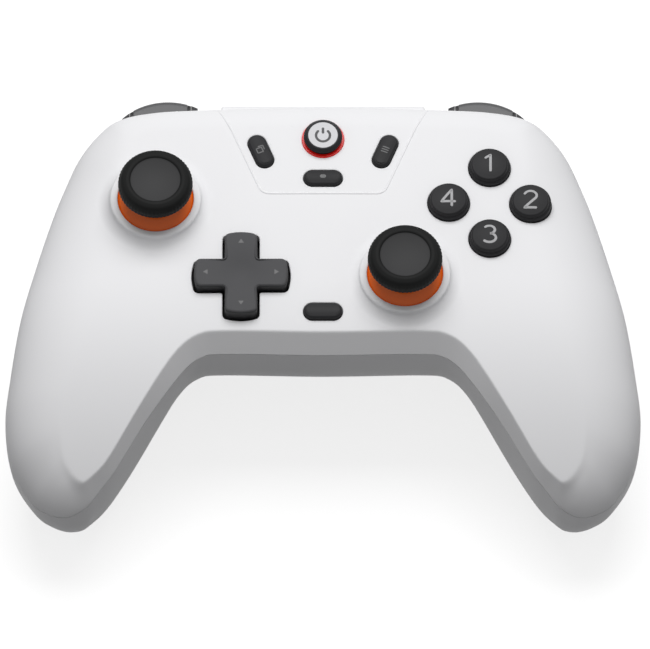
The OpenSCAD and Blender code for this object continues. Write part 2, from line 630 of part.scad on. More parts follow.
module stick_bail() difference() {
  union() {
    for (s = SIDES) translate([-1.4, s * 4.95 - 0.45, -1.4]) cube([2.8, 0.9, 6.6]);
    translate([-3.2, -5.4, 4.3]) cube([6.4, 10.8, 0.9]);
    for (s = SIDES) rotate([s * 90, 0, 0]) translate([0, 0, 4.6]) cylinder(r = rocker_pin_r, h = 2.7);
  }
  translate([0, 0, 4]) linear_extrude(2) pill_slot();
}
module pill_slot() square([2 * shaft_r + 0.3, 8.2], center = true);
module stick_housing() difference() {
  union() {
    translate([-housing_w / 2, -housing_w / 2, board_top - pivot_z])
      cube([housing_w, housing_w, housing_top_h + pivot_z - board_top]);
    translate([housing_w / 2 - eps, -3.4, board_top - pivot_z]) cube([2.6, 6.8, 7.6]);
    translate([-3.4, -housing_w / 2 - 2.6 + eps, board_top - pivot_z]) cube([6.8, 2.6, 7.6]);
  }
  translate([-cavity / 2, -cavity / 2, board_top - pivot_z + 0.8]) cube([cavity, cavity, over]);
  tube_x(rocker_pin_r + pin_play, -over, housing_w / 2 + 1, [0, 0]);
  translate([0, over / 2, 0]) rotate([90, 0, 0]) cylinder(r = rocker_pin_r + pin_play, h = over / 2 + 8.5);
}
module on_stick_left() at(stick_left_at, pivot_z) children();
module on_stick_right() at(stick_right_at, pivot_z) children();
module stick_cap_left() color(black) placed() on_stick_left() stick_cap();
module stick_cap_right() color(black) placed() on_stick_right() stick_cap();
module stick_dome_left() color(orange) placed() on_stick_left() stick_dome();
module stick_dome_right() color(orange) placed() on_stick_right() stick_dome();
module stick_shaft_left() color(black) placed() on_stick_left() stick_shaft();
module stick_shaft_right() color(black) placed() on_stick_right() stick_shaft();
module stick_rocker_left() color(white) placed() on_stick_left() stick_rocker();
module stick_rocker_right() color(white) placed() on_stick_right() stick_rocker();
module stick_bail_left() color(white) placed() on_stick_left() stick_bail();
module stick_bail_right() color(white) placed() on_stick_right() stick_bail();
module stick_housing_left() color(steel) placed() on_stick_left() stick_housing();
module stick_housing_right() color(steel) placed() on_stick_right() stick_housing();

// Direction pad on its pivot, over a rubber mat
dpad_gap = 0.4;
dpad_post_r = 2.9;
dpad_pivot_z = face_at(dpad_at[0], dpad_at[1]) - 3.4;
dpad_top = face_at(dpad_at[0], dpad_at[1]) + 2.3;
mat_top = board_top + 3.6;
module dpad() color(charcoal) placed() at(dpad_at) difference() {
  union() {
    translate([0, 0, dpad_pivot_z - 1.4]) linear_extrude(dpad_top - 0.7 - dpad_pivot_z + 1.4) dpad_flat(0);
    translate([0, 0, dpad_top - 0.8]) linear_extrude(0.8) dpad_flat(-0.6);
    translate([0, 0, dpad_pivot_z - 2.6]) cylinder(r = 13.3, h = 1.3);
    for (k = [0:3]) rotate(90 * k) translate([8.2, 0, mat_top + 1])
      cylinder(r = 1.6, h = dpad_pivot_z - 3 - mat_top);
  }
  translate([0, 0, dpad_top + 33.4]) sphere(34);
  translate([0, 0, dpad_pivot_z - 3]) cylinder(r = dpad_post_r + 0.9, h = 5.4);
  translate([0, 0, dpad_pivot_z]) rotate([90, 0, 0]) cylinder(r = 0.8 + pin_play, h = 12, center = true);
}
module dpad_pivot() color(black) placed() at(dpad_at, dpad_pivot_z) {
  sphere(1.3);
  rotate([90, 0, 0]) cylinder(r = 0.8, h = 11.4, center = true);
  tube_x(0.8, -dpad_post_r, dpad_post_r, [0, 0]);
}
module dpad_post() color(black) placed() at(dpad_at) difference() {
  translate([0, 0, board_top]) cylinder(r = dpad_post_r, h = dpad_pivot_z + 1.5 - board_top);
  translate([-1.6, -over / 2, dpad_pivot_z - 1.6]) cube([3.2, over, over]);
  tube_x(0.8 + pin_play, -over, over, [0, dpad_pivot_z]);
}
module mat_dome(z) {
  cylinder(r1 = 4, r2 = 2.6, h = z);
}
module dpad_mat() color(rubber_grey) placed() at(dpad_at, board_top) {
  linear_extrude(0.9) difference() {
    round_box_flat([27, 27], 5);
    circle(dpad_post_r + 0.3);
  }
  for (k = [0:3]) rotate(90 * k) translate([8.2, 0, 0]) mat_dome(mat_top - board_top);
}

// Face buttons over their rubber mat
module face_button(k) {
  p = face_button_at(k);
  zf = face_at(p[0], p[1]);
  r = face_button_r;
  flange = zf - wall - 1.8;
  stem = mat_top + face_button_travel + 0.1;
  color(charcoal) placed() at(p) rotate_extrude() polygon([[0, stem], [2.4, stem], [2.4, flange - 1.2],
    [r + 0.9, flange - 1.2], [r + 0.9, flange], [r, flange], [r, zf + 0.8], [r - 0.12, zf + 1.3],
    [r - 0.45, zf + 1.9], [r - 0.9, zf + 2.25], [r - 2.6, zf + 2.55], [0, zf + 2.7]]);
}
module face_button_top() face_button(0);
module face_button_right() face_button(1);
module face_button_bottom() face_button(2);
module face_button_left() face_button(3);
module face_button_mat() color(rubber_grey) placed() {
  for (k = [0:3]) at(face_button_at(k), board_top) mat_dome(mat_top - board_top);
  at(face_buttons_at, board_top) linear_extrude(0.9) {
    circle(9);
    for (k = [0:3]) rotate(90 * k) translate([face_button_pitch, 0]) circle(4.4);
  }
}

// Home button: dark cap with a light disc let into it, inside a fixed light ring
home_ring_r = 5.1;
home_cap_r = 4.9;
home_stem_r = 4.05;
home_disc_r = 3.65;
home_disc_z = face_at(0, home_at[1]) + 1.95;
home_skirt = 1.2;
home_rim = 2.2;
switch_top = board_top + 2.4;
module home_button() color(charcoal) placed() at(home_at) {
  zf = face_at(0, home_at[1]);
  rotate_extrude() polygon([[0, switch_top + small_travel + 0.1], [2, switch_top + small_travel + 0.1],
    [2, zf - 4.3], [home_stem_r + 0.9, zf - 4.3], [home_stem_r + 0.9, zf - 3.3], [home_stem_r, zf - 3.3],
    [home_stem_r, zf + home_skirt], [home_cap_r, zf + home_skirt], [home_cap_r, zf + home_skirt + 0.3],
    [home_disc_r + 0.3, zf + home_rim], [home_disc_r, zf + home_rim], [home_disc_r, home_disc_z],
    [0, home_disc_z]]);
}
module home_disc() color(rubber_grey) placed() at(home_at, home_disc_z) cylinder(r = home_disc_r, h = 0.3);
module home_light_ring() color(red) placed() at(home_at) {
  zf = face_at(0, home_at[1]);
  seat = zf - wall - 0.25;
  rotate_extrude() polygon([[home_stem_r + 0.3, seat - 0.7], [home_ring_r + 0.6, seat - 0.7],
    [home_ring_r + 0.6, seat], [home_ring_r, seat], [home_ring_r, zf + 0.15],
    [home_ring_r - 0.2, zf + 0.3], [home_stem_r + 0.3, zf + 0.3]]);
}

// Pill buttons over their push switches
module pill_button(p, turn) color(charcoal) placed() at(p) {
  zf = face_at(p[0], p[1]);
  rotate(turn) {
    translate([0, 0, zf - wall - 1]) linear_extrude(wall + 1.6) pill_flat(pill_run, pill_r);
    translate([0, 0, zf + 0.6 - eps]) linear_extrude(0.5) pill_flat(pill_run, pill_r - 0.45);
    translate([0, 0, zf - wall - 1.6]) linear_extrude(1) pill_flat(pill_run + 1, pill_r + 0.8);
  }
  stem = switch_top + small_travel + 0.1;
  translate([0, 0, stem]) cylinder(r = 1.4, h = zf - wall - 1.4 - stem);
}
module view_button() pill_button([-menu_at[0], menu_at[1]], menu_turn(-1));
module menu_button() pill_button(menu_at, menu_turn(1));
module capture_button() pill_button(capture_at, 0);
module mode_button() pill_button(mode_at, 0);
module push_switch() {
  translate([-2.2, -2.2, 0]) cube([4.4, 4.4, 1.6]);
  cylinder(r = 0.9, h = switch_top - board_top);
}
module push_switches() color(steel) placed() {
  for (p = [home_at, capture_at, mode_at]) at(p, board_top) push_switch();
  left_right() at(menu_at, board_top) push_switch();
}

// Inside: board, charging port, battery, motors and screws
module board_flat() difference() {
  union() {
    translate([0, 10.5]) round_box_flat([104, 48], 5);
    translate([0, 38]) round_box_flat([42, 17], 2);
  }
  for (s = SIDES) for (p = board_screws_at) translate([s * p[0], p[1]]) circle(board_screw_r + 0.2);
}
module main_board() color(board_green) placed() translate([0, 0, board_top - board_t])
  linear_extrude(board_t) board_flat();
module usb_port() color(steel) placed() translate([0, bridge_y - 0.5, usb_z]) rotate([90, 0, 0]) {
  difference() {
    linear_extrude(usb_size[1]) round_box_flat([usb_size[0], usb_size[2]], 1.25);
    translate([0, 0, -1]) linear_extrude(usb_size[1]) round_box_flat(usb_mouth, 1.05);
  }
  translate([-3.3, -0.35, 0.8]) cube([6.6, 0.7, usb_size[1] - 0.8]);
}
module battery() color(steel) placed() at(battery_at, wall + 0.4)
  linear_extrude(battery_size[2]) round_box_flat([battery_size[0], battery_size[1]], 3);
module tube_y(r, p, len) translate(p) rotate([90, 0, 0]) cylinder(r = r, h = len);
module motor() difference() {
  union() {
    tube_y(motor_r, motor_at, motor_len);
    tube_y(2.2, motor_at + [0, 1, 0], motor_len);
  }
  tube_y(0.9 + pin_play, motor_at - [0, motor_len - 4, 0], 5);
}
module motor_weight() {
  tube_y(0.9, motor_at - [0, motor_len - 3.6, 0], 11);
  intersection() {
    tube_y(6.6, motor_at - [0, motor_len + 1, 0], 6);
    translate(motor_at - [over, over, over - 1.4]) cube([2 * over, 2 * over, over]);
  }
}
module motor_left() color(steel) placed() scale_x(-1) motor();
module motor_right() color(steel) placed() motor();
module motor_weight_left() color(steel) placed() scale_x(-1) motor_weight();
module motor_weight_right() color(steel) placed() motor_weight();
module case_screws() color(steel) placed() left_right() for (p = case_screws_at) at(p) {
  translate([0, 0, case_head_z - 1.8]) cylinder(r = 2.3, h = 1.8);
  translate([0, 0, case_head_z - eps]) cylinder(r = case_screw_r, h = 10.6);
}
module board_screws() color(steel) placed() left_right() for (p = board_screws_at) at(p) {
  translate([0, 0, board_top]) cylinder(r = 2, h = 1.3);
  translate([0, 0, board_top - board_t - 6]) cylinder(r = board_screw_r, h = board_t + 6 + eps);
}

front_shell();
back_shell();
top_bridge();
shoulder_bracket_left();
shoulder_bracket_right();
bumper_left();
bumper_right();
bumper_pin_left();
bumper_pin_right();
bumper_switches();
trigger_left();
trigger_right();
trigger_pin_left();
trigger_pin_right();
trigger_spring_left();
trigger_spring_right();
stick_cap_left();
stick_cap_right();
stick_dome_left();
stick_dome_right();
stick_shaft_left();
stick_shaft_right();
stick_rocker_left();
stick_rocker_right();
stick_bail_left();
stick_bail_right();
stick_housing_left();
stick_housing_right();
dpad();
dpad_pivot();
dpad_post();
dpad_mat();
face_button_top();
face_button_right();
face_button_bottom();
face_button_left();
face_button_mat();
home_button();
home_disc();
home_light_ring();
view_button();
menu_button();
capture_button();
mode_button();
push_switches();
main_board();
usb_port();
battery();
motor_left();
motor_right();
motor_weight_left();
motor_weight_right();
case_screws();
board_screws();
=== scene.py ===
"""Looks of a two-grip gamepad controller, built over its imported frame.

Every visible piece is a numpy surface: a height field over the plan, a profile carried round an
outline, or a profile turned about an axis. Lengths are in millimetres until a mesh is made.
"""

import json
import logging
import math
from dataclasses import dataclass, field
from enum import Enum
from typing import Callable, Optional, Sequence

import bmesh
import bpy
import numpy as np
from mathutils import Matrix, Vector

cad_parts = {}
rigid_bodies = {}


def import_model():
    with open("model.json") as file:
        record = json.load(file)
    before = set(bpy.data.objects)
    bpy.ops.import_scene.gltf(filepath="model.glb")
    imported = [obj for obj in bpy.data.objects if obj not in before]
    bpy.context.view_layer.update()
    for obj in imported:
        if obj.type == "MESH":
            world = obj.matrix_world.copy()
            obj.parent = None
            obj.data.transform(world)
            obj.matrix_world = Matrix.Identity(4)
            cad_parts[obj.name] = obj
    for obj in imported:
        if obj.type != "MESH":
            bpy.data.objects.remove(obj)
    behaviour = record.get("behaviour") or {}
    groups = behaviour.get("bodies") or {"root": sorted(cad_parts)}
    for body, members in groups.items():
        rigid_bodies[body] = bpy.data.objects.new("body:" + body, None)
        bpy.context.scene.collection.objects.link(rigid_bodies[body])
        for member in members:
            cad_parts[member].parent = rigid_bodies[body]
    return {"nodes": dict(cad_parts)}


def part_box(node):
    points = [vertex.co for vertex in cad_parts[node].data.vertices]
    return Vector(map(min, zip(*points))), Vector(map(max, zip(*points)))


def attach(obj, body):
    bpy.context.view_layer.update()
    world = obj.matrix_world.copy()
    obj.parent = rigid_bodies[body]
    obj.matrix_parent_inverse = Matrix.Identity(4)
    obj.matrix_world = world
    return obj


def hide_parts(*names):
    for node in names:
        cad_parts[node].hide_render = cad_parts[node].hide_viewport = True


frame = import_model()

LOG = logging.getLogger("gamepad")
Array = np.ndarray
Height = Callable[[Array, Array], Array]

MM = 0.001
WELD = 2e-6
SMOOTH_ANGLE = math.radians(38)


class Side(Enum):
    """Hand of a paired piece, seen by the player."""

    LEFT = "left"
    RIGHT = "right"

    @property
    def sign(self) -> int:
        """Sign of X on this side.

        Returns:
            -1 on the left and 1 on the right.
        """
        return -1 if self is Side.LEFT else 1


class Symbol(Enum):
    """Plain marks that stand in the places of printed or engraved ones."""

    NONE = "none"
    ONE = "1"
    TWO = "2"
    THREE = "3"
    FOUR = "4"
    LINES = "lines"
    SQUARES = "squares"
    DOT = "dot"
    POWER = "power"


def smooth(a: float, b: float, v: Array) -> Array:
    """Cubic step.

    Args:
        a: Where the step starts.
        b: Where the step ends.
        v: Values to judge.

    Returns:
        0 before a, 1 after b and 3t^2 - 2t^3 between.
    """
    t = np.clip((v - a) / (b - a), 0, 1)
    return t * t * (3 - 2 * t)


def unit(v: Array) -> Array:
    """Vectors brought to length one.

    Args:
        v: Array whose last axis holds vectors.

    Returns:
        Array of the same shape.
    """
    return v / np.maximum(np.linalg.norm(v, axis=-1, keepdims=True), 1e-12)


def rounded(corners: Sequence[Sequence[float]], radii: Sequence[float], closed: bool = True,
            steps: int = 8) -> Array:
    """Polygon whose corners are circular arcs.

    Each arc touches both edges at its corner, with its centre on the corner's bisector at
    radius / sin(half the corner's angle).

    Args:
        corners: Corner points in order.
        radii: Radius at each corner.
        closed: Whether the last corner joins the first; if not, the end corners stay as they are.
        steps: Points on each arc, less one.

    Returns:
        Points of the outline, shape (n, 2).
    """
    p = np.asarray(corners, float)
    r = np.maximum(np.asarray(radii, float), 1e-3)[:, None]
    back = unit(np.roll(p, 1, axis=0) - p)
    ahead = unit(np.roll(p, -1, axis=0) - p)
    half = np.arccos(np.clip((back * ahead).sum(1), -1, 1))[:, None] / 2
    half = np.minimum(half, math.pi / 2 - 1e-4)
    centre = p + unit(back + ahead) * r / np.sin(half)
    start = p + back * r / np.tan(half) - centre
    stop = p + ahead * r / np.tan(half) - centre
    turn = math.pi - 2 * half
    t = np.linspace(0, 1, steps + 1)[None, :, None]
    w = turn[:, None, :]
    blend = np.sin((1 - t) * w) * start[:, None] + np.sin(t * w) * stop[:, None]
    arcs = centre[:, None] + blend / np.sin(w)
    if closed:
        return arcs.reshape(-1, 2)
    return np.concatenate([p[:1], arcs[1:-1].reshape(-1, 2), p[-1:]])


def resample(path: Array, count: int, closed: bool = True) -> Array:
    """Path with evenly spaced points.

    Args:
        path: Points of the path, shape (n, k).
        count: Number of points wanted.
        closed: Whether the path returns to its start.

    Returns:
        Array of shape (count, k).
    """
    whole = np.concatenate([path, path[:1]]) if closed else path
    step = np.linalg.norm(np.diff(whole, axis=0), axis=1)
    run = np.concatenate([[0], np.cumsum(step)])
    at = np.linspace(0, run[-1], count, endpoint=not closed)
    return np.stack([np.interp(at, run, whole[:, k]) for k in range(path.shape[1])], axis=-1)


def outward(path: Array, closed: bool = True) -> Array:
    """Normals to the right of a path, which point out of a counter-clockwise outline.

    Args:
        path: Points of the path, shape (n, 2).
        closed: Whether the path returns to its start.

    Returns:
        Unit normals, shape (n, 2).
    """
    t = np.roll(path, -1, axis=0) - np.roll(path, 1, axis=0) if closed else np.gradient(path, axis=0)
    return unit(np.stack([t[:, 1], -t[:, 0]], axis=-1))


def circle(centre: Sequence[float], radius: float, count: int = 96) -> Array:
    """Circle as an outline.

    Args:
        centre: Middle of the circle.
        radius: Its radius.
        count: Number of points.

    Returns:
        Points, counter-clockwise, shape (count, 2).
    """
    a = np.linspace(0, 2 * math.pi, count, endpoint=False)
    return np.asarray(centre, float) + radius * np.stack([np.cos(a), np.sin(a)], axis=-1)


def pill(centre: Sequence[float], run: float, radius: float, turn: float, count: int = 96) -> Array:
    """Slot shape with two round ends.

    Args:
        centre: Middle of the shape.
        run: Distance between the centres of its ends.
        radius: Radius of its ends.
        turn: Angle of its long axis in degrees.
        count: Number of points.

    Returns:
        Points, counter-clockwise, shape (count, 2).
    """
    h, e = run / 2, radius
    box = rounded([(-h - e, -e), (h + e, -e), (h + e, e), (-h - e, e)], [e * 0.999] * 4, steps=16)
    c, s = math.cos(math.radians(turn)), math.sin(math.radians(turn))
    return resample(box @ np.array([[c, s], [-s, c]]), count) + np.asarray(centre, float)


def arc(centre: Sequence[float], radius: Sequence[float], start: float, stop: float,
        count: int = 24) -> Array:
    """Part of an ellipse.

    Args:
        centre: Middle of the ellipse.
        radius: Its two half axes.
        start: First angle in degrees.
        stop: Last angle in degrees.
        count: Number of points.

    Returns:
        Points, shape (count, 2).
    """
    a = np.radians(np.linspace(start, stop, count))
    return np.asarray(centre, float) + np.stack([radius[0] * np.cos(a), radius[1] * np.sin(a)], axis=-1)


def turned(profile: Array, centre: Sequence[float], count: int = 96) -> Array:
    """Surface of revolution: each profile point (r, z) goes round a vertical axis.

    Args:
        profile: Points (r, z), shape (m, 2).
        centre: Place of the axis in the plan.
        count: Steps round the axis.

    Returns:
        Grid of points, shape (m, count, 3).
    """
    a = np.linspace(0, 2 * math.pi, count, endpoint=False)[None]
    r, z = profile[:, :1], profile[:, 1:]
    return np.stack([centre[0] + r * np.cos(a), centre[1] + r * np.sin(a), z + 0 * a], axis=-1)


def carried(outline: Array, offset: Array, z: Array) -> Array:
    """Surface that carries a profile round an outline, each profile point a step along the outline's normals.

    Args:
        outline: Closed outline, shape (n, 2).
        offset: Steps outward, shape (m,).
        z: Heights, shape (m,) or (m, n).

    Returns:
        Grid of points, shape (m, n, 3).
    """
    flat = outline[None] + np.asarray(offset, float)[:, None, None] * outward(outline)[None]
    tall = np.asarray(z, float)
    tall = tall if tall.ndim == 2 else np.repeat(tall[:, None], len(outline), axis=1)
    return np.concatenate([flat, tall[..., None]], axis=-1)


def filled(outline: Array, height: Height, rings: int = 14) -> Array:
    """Top that fills an outline: rings shrink towards its middle and take their height from a function.

    Args:
        outline: Closed outline that is seen whole from its middle, shape (n, 2).
        height: Height over the plan.
        rings: Number of rings.

    Returns:
        Grid of points, shape (rings, n, 3).
    """
    middle = outline.mean(axis=0)
    s = np.linspace(1, 0, rings)[:, None, None]
    flat = middle + (outline - middle)[None] * s
    return np.concatenate([flat, height(flat[..., 0], flat[..., 1])[..., None]], axis=-1)


def spline(rows: Array, before: Array, after: Array, steps: int) -> Array:
    """Catmull-Rom curve through rows of values.

    Args:
        rows: Values to pass through, shape (n, k).
        before: Row that stands before the first.
        after: Row that stands after the last.
        steps: Points on each span.

    Returns:
        Points of the curve, shape ((n - 1) * steps + 1, k).
    """
    p = np.concatenate([before[None], rows, after[None]])
    a, b, c, d = p[:-3, None], p[1:-2, None], p[2:-1, None], p[3:, None]
    t = (np.arange(steps) / steps)[None, :, None]
    made = 0.5 * (2 * b + (c - a) * t + (2 * a - 5 * b + 4 * c - d) * t**2 + (3 * b - a - 3 * c + d) * t**3)
    return np.concatenate([made.reshape(-1, rows.shape[1]), rows[-1:]])


def srgb(r: float, g: float, b: float) -> tuple[float, float, float, float]:
    """Colour as it shows on a screen, turned into linear light.

    Args:
        r: Red from 0 to 255.
        g: Green from 0 to 255.
        b: Blue from 0 to 255.

    Returns:
        Linear red, green, blue and an alpha of one.
    """
    c = np.array([r, g, b], float) / 255
    lin = np.where(c <= 0.04045, c / 12.92, ((c + 0.055) / 1.055) ** 2.4)
    return (*(float(v) for v in lin), 1.0)


@dataclass(frozen=True)
class Finish:
    """Procedural surface: base colour with a slight cloud, fine moulded grain, roughness that varies."""

    name: str
    colour: tuple[float, float, float]
    roughness: float
    metallic: float = 0.0
    cloud: float = 0.03
    cloud_scale: float = 60.0
    grain: float = 0.006
    grain_scale: float = 4200.0
    coat: float = 0.0
    glow: float = 0.0
    specular: float = 0.5

    def material(self) -> bpy.types.Material:
        """Makes the material once and hands out the same one afterwards.

        Returns:
            The material.
        """
        label = "finish_" + self.name
        made = bpy.data.materials.get(label)
        if made is None:
            made = bpy.data.materials.new(label)
            made.use_nodes = True
            self._wire(made.node_tree)
        return made

    def _wire(self, tree: bpy.types.NodeTree) -> None:
        """Fills the node tree.

        Args:
            tree: The material's tree.
        """
        nodes, links = tree.nodes, tree.links
        shader = nodes["Principled BSDF"]
        place = nodes.new("ShaderNodeTexCoord").outputs["Object"]
        cloud = nodes.new("ShaderNodeTexNoise")
        cloud.inputs["Scale"].default_value = self.cloud_scale
        cloud.inputs["Detail"].default_value = 4.0
        links.new(place, cloud.inputs["Vector"])
        tint = nodes.new("ShaderNodeMix")
        tint.data_type = "RGBA"
        base = srgb(*self.colour)
        tint.inputs[6].default_value = (*(v * (1 - self.cloud) for v in base[:3]), 1)
        tint.inputs[7].default_value = (*(min(1, v * (1 + self.cloud)) for v in base[:3]), 1)
        links.new(cloud.outputs[0], tint.inputs[0])
        links.new(tint.outputs[2], shader.inputs["Base Color"])
        matt = nodes.new("ShaderNodeMapRange")
        matt.inputs["To Min"].default_value = max(0.02, self.roughness - 0.05)
        matt.inputs["To Max"].default_value = min(1.0, self.roughness + 0.05)
        links.new(cloud.outputs[0], matt.inputs["Value"])
        links.new(matt.outputs[0], shader.inputs["Roughness"])
        grain = nodes.new("ShaderNodeTexNoise")
        grain.inputs["Scale"].default_value = self.grain_scale
        grain.inputs["Detail"].default_value = 2.0
        links.new(place, grain.inputs["Vector"])
        bump = nodes.new("ShaderNodeBump")
        bump.inputs["Strength"].default_value = 1.0
        bump.inputs["Distance"].default_value = self.grain * MM
        links.new(grain.outputs[0], bump.inputs["Height"])
        links.new(bump.outputs[0], shader.inputs["Normal"])
        shader.inputs["Metallic"].default_value = self.metallic
        shader.inputs["Specular IOR Level"].default_value = self.specular
        shader.inputs["Coat Weight"].default_value = self.coat
        shader.inputs["Coat Roughness"].default_value = 0.12
        shader.inputs["Emission Color"].default_value = base
        shader.inputs["Emission Strength"].default_value = self.glow


class Look:
    """The finishes of the controller."""

    SHELL = Finish("moulded_white", (242, 242, 244), 0.5, cloud=0.006, grain=0.004, specular=0.3)
    BUTTON = Finish("button_charcoal", (43, 43, 45), 0.55, cloud=0.05, grain=0.008, specular=0.22)
    PAD = Finish("pad_charcoal", (86, 86, 88), 0.6, cloud=0.04, grain=0.006, specular=0.12)
    # Lighter than the button charcoal, though the same plastic: painted light on the bumpers and triggers.
    SHOULDER_PAINTED_LIGHT = Finish("shoulder_charcoal_painted_light", (84, 84, 86), 0.45, cloud=0.04, grain=0.006)
    BRACKET = Finish("bracket_charcoal", (58, 58, 60), 0.5, cloud=0.04, grain=0.006)
    CAP = Finish("stick_rubber", (19, 20, 20), 0.66, cloud=0.06, grain=0.012, specular=0.22)
    DISC = Finish("stick_disc", (58, 58, 59), 0.62, cloud=0.05, grain=0.01, specular=0.25)
    # The glow is painted light, brightening the dome in the shade under the cap.
    DOME = Finish("dome_orange", (242, 106, 18), 0.2, cloud=0.04, grain=0.002, coat=0.4, glow=0.05)
    RING = Finish("ring_red", (222, 24, 18), 0.3, cloud=0.03, grain=0.002, glow=0.16)
    PLATE = Finish("home_plate", (208, 208, 211), 0.42, cloud=0.02)
    PRINT = Finish("print_grey", (170, 170, 172), 0.5, cloud=0.02)
    FAINT = Finish("print_faint", (98, 98, 99), 0.5, cloud=0.03)
    DARK_PRINT = Finish("print_dark", (60, 60, 62), 0.5, cloud=0.03)
    # Black of the inner parts, also used as painted shade on the direction pad's walls and the bumper's end
    # bands.
    BLACK_AND_PAINTED_SHADE = Finish("inner_black", (28, 28, 30), 0.55, cloud=0.05)
    GIMBAL = Finish("gimbal_white", (226, 226, 220), 0.5, cloud=0.02)
    STEEL = Finish("plated_steel", (186, 188, 192), 0.32, metallic=1.0, cloud=0.05, grain=0.003)
    BOARD = Finish("board_green", (22, 82, 46), 0.4, cloud=0.08, cloud_scale=220, coat=0.2)
    CELL = Finish("cell_wrap", (60, 74, 96), 0.35, cloud=0.05, coat=0.15)
    MAT = Finish("mat_rubber", (140, 140, 143), 0.7, cloud=0.05, grain=0.01)


@dataclass
class Shape:
    """Growing set of surface patches in millimetres that becomes one mesh."""

    points: list[Array] = field(default_factory=list)
    polys: list[Array] = field(default_factory=list)
    finish: list[Array] = field(default_factory=list)
    size: int = 0

    def sheet(self, grid: Array, wrap: bool = False, flip: bool = False, finish: int = 0) -> "Shape":
        """Adds a grid of quads; rows that shrink to a point are welded later.

        Args:
            grid: Points, shape (rows, columns, 3).
            wrap: Whether the last column joins the first.
            flip: Whether the faces look the other way.
            finish: Index of the finish.

        Returns:
            This shape.
        """
        index = np.arange(grid.shape[0] * grid.shape[1]).reshape(grid.shape[:2]) + self.size
        here, there = (index, np.roll(index, -1, axis=1)) if wrap else (index[:, :-1], index[:, 1:])
        quads = np.stack([here[:-1], there[:-1], there[1:], here[1:]], axis=-1).reshape(-1, 4)
        return self._store(grid.reshape(-1, 3), quads[:, ::-1] if flip else quads, finish)

    def prism(self, outline: Array, low: float, high: float) -> "Shape":
        """Adds a closed upright prism over an outline.

        Args:
            outline: Closed outline, shape (n, 2).
            low: Height of its bottom.
            high: Height of its top.

        Returns:
            This shape.
        """
        n = len(outline)
        ring = np.arange(n) + self.size
        ends = np.stack([ring[::-1], ring + n])
        wall = np.stack([ring, np.roll(ring, -1), np.roll(ring, -1) + n, ring + n], axis=-1)
        tall = np.repeat(np.array([low, high], float), n)[:, None]
        self._store(np.concatenate([np.tile(outline, (2, 1)), tall], axis=1), wall, 0)
        self.polys.append(ends)
        self.finish.append(np.zeros(2, int))
        return self

    def bar(self, outline: Array, start: float, stop: float) -> "Shape":
        """Adds a closed prism along X.

        Args:
            outline: Closed outline in (y, z).
            start: First x.
            stop: Last x.

        Returns:
            This shape.
        """
        self.prism(outline, start, stop)
        self.points[-1] = np.roll(self.points[-1], 1, axis=1)
        return self

    def shifted(self, x: float = 0.0, y: float = 0.0, z: float = 0.0) -> "Shape":
        """Moves everything added so far.

        Args:
            x: Step along X.
            y: Step along Y.
            z: Step along Z.

        Returns:
            This shape.
        """
        self.points = [p + np.array([x, y, z]) for p in self.points]
        return self

    def mirrored(self, side: Side) -> "Shape":
        """Turns a shape drawn for the right into one for a side.

        Args:
            side: The side wanted.

        Returns:
            This shape.
        """
        if side is Side.LEFT:
            self.points = [p * np.array([-1.0, 1.0, 1.0]) for p in self.points]
            self.polys = [q[:, ::-1] for q in self.polys]
        return self

    def mesh(self, name: str) -> bpy.types.Mesh:
        """Turns the patches into one welded mesh in metres.

        Args:
            name: Name of the mesh.

        Returns:
            The mesh.
        """
        made = bpy.data.meshes.new(name)
        points = np.concatenate(self.points) * MM
        loops = np.concatenate([q.ravel() for q in self.polys]).astype(np.int32)
        sizes = np.concatenate([np.full(len(q), q.shape[1]) for q in self.polys])
        starts = np.concatenate([[0], np.cumsum(sizes)[:-1]]).astype(np.int32)
        made.vertices.add(len(points))
        made.vertices.foreach_set("co", points.astype(np.float32).ravel())
        made.loops.add(len(loops))
        made.loops.foreach_set("vertex_index", loops)
        made.polygons.add(len(sizes))
        made.polygons.foreach_set("loop_start", starts)
        made.polygons.foreach_set("material_index", np.concatenate(self.finish).astype(np.int32))
        made.update(calc_edges=True)
        weld = bmesh.new()
        weld.from_mesh(made)
        bmesh.ops.remove_doubles(weld, verts=weld.verts, dist=WELD)
        bmesh.ops.dissolve_degenerate(weld, edges=weld.edges, dist=WELD / 4)
        bmesh.ops.recalc_face_normals(weld, faces=weld.faces)
        weld.to_mesh(made)
        weld.free()
        return made

    def _store(self, points: Array, polys: Array, finish: int) -> "Shape":
        """Keeps one patch.

        Args:
            points: Its points, shape (n, 3).
            polys: Its polygons as indices.
            finish: Index of its finish.

        Returns:
            This shape.
        """
        self.points.append(points)
        self.polys.append(polys)
        self.finish.append(np.full(len(polys), finish))
        self.size += len(points)
        return self


@dataclass(frozen=True)
class Seat:
    """Where a finished piece belongs in the frame."""

    piece: str
    body: str
    nodes: tuple[str, ...]
    slot: str

    def take(self, mesh: bpy.types.Mesh, finishes: Sequence[Finish]) -> bpy.types.Object:
        """Makes the object, shades it smooth, and seats it on its body.

        Args:
            mesh: The finished mesh.
            finishes: Finishes in the order of the mesh's indices.

        Returns:
            The object.
        """
        made = bpy.data.objects.new(self.piece, mesh)
        bpy.context.scene.collection.objects.link(made)
        mesh.shade_smooth()
        mesh.set_sharp_from_angle(angle=SMOOTH_ANGLE)
        for finish in finishes:
            mesh.materials.append(finish.material())
        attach(made, self.body)
        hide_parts(*self.nodes)
        LOG.info("%s: %d faces", self.piece, len(mesh.polygons))
        return made


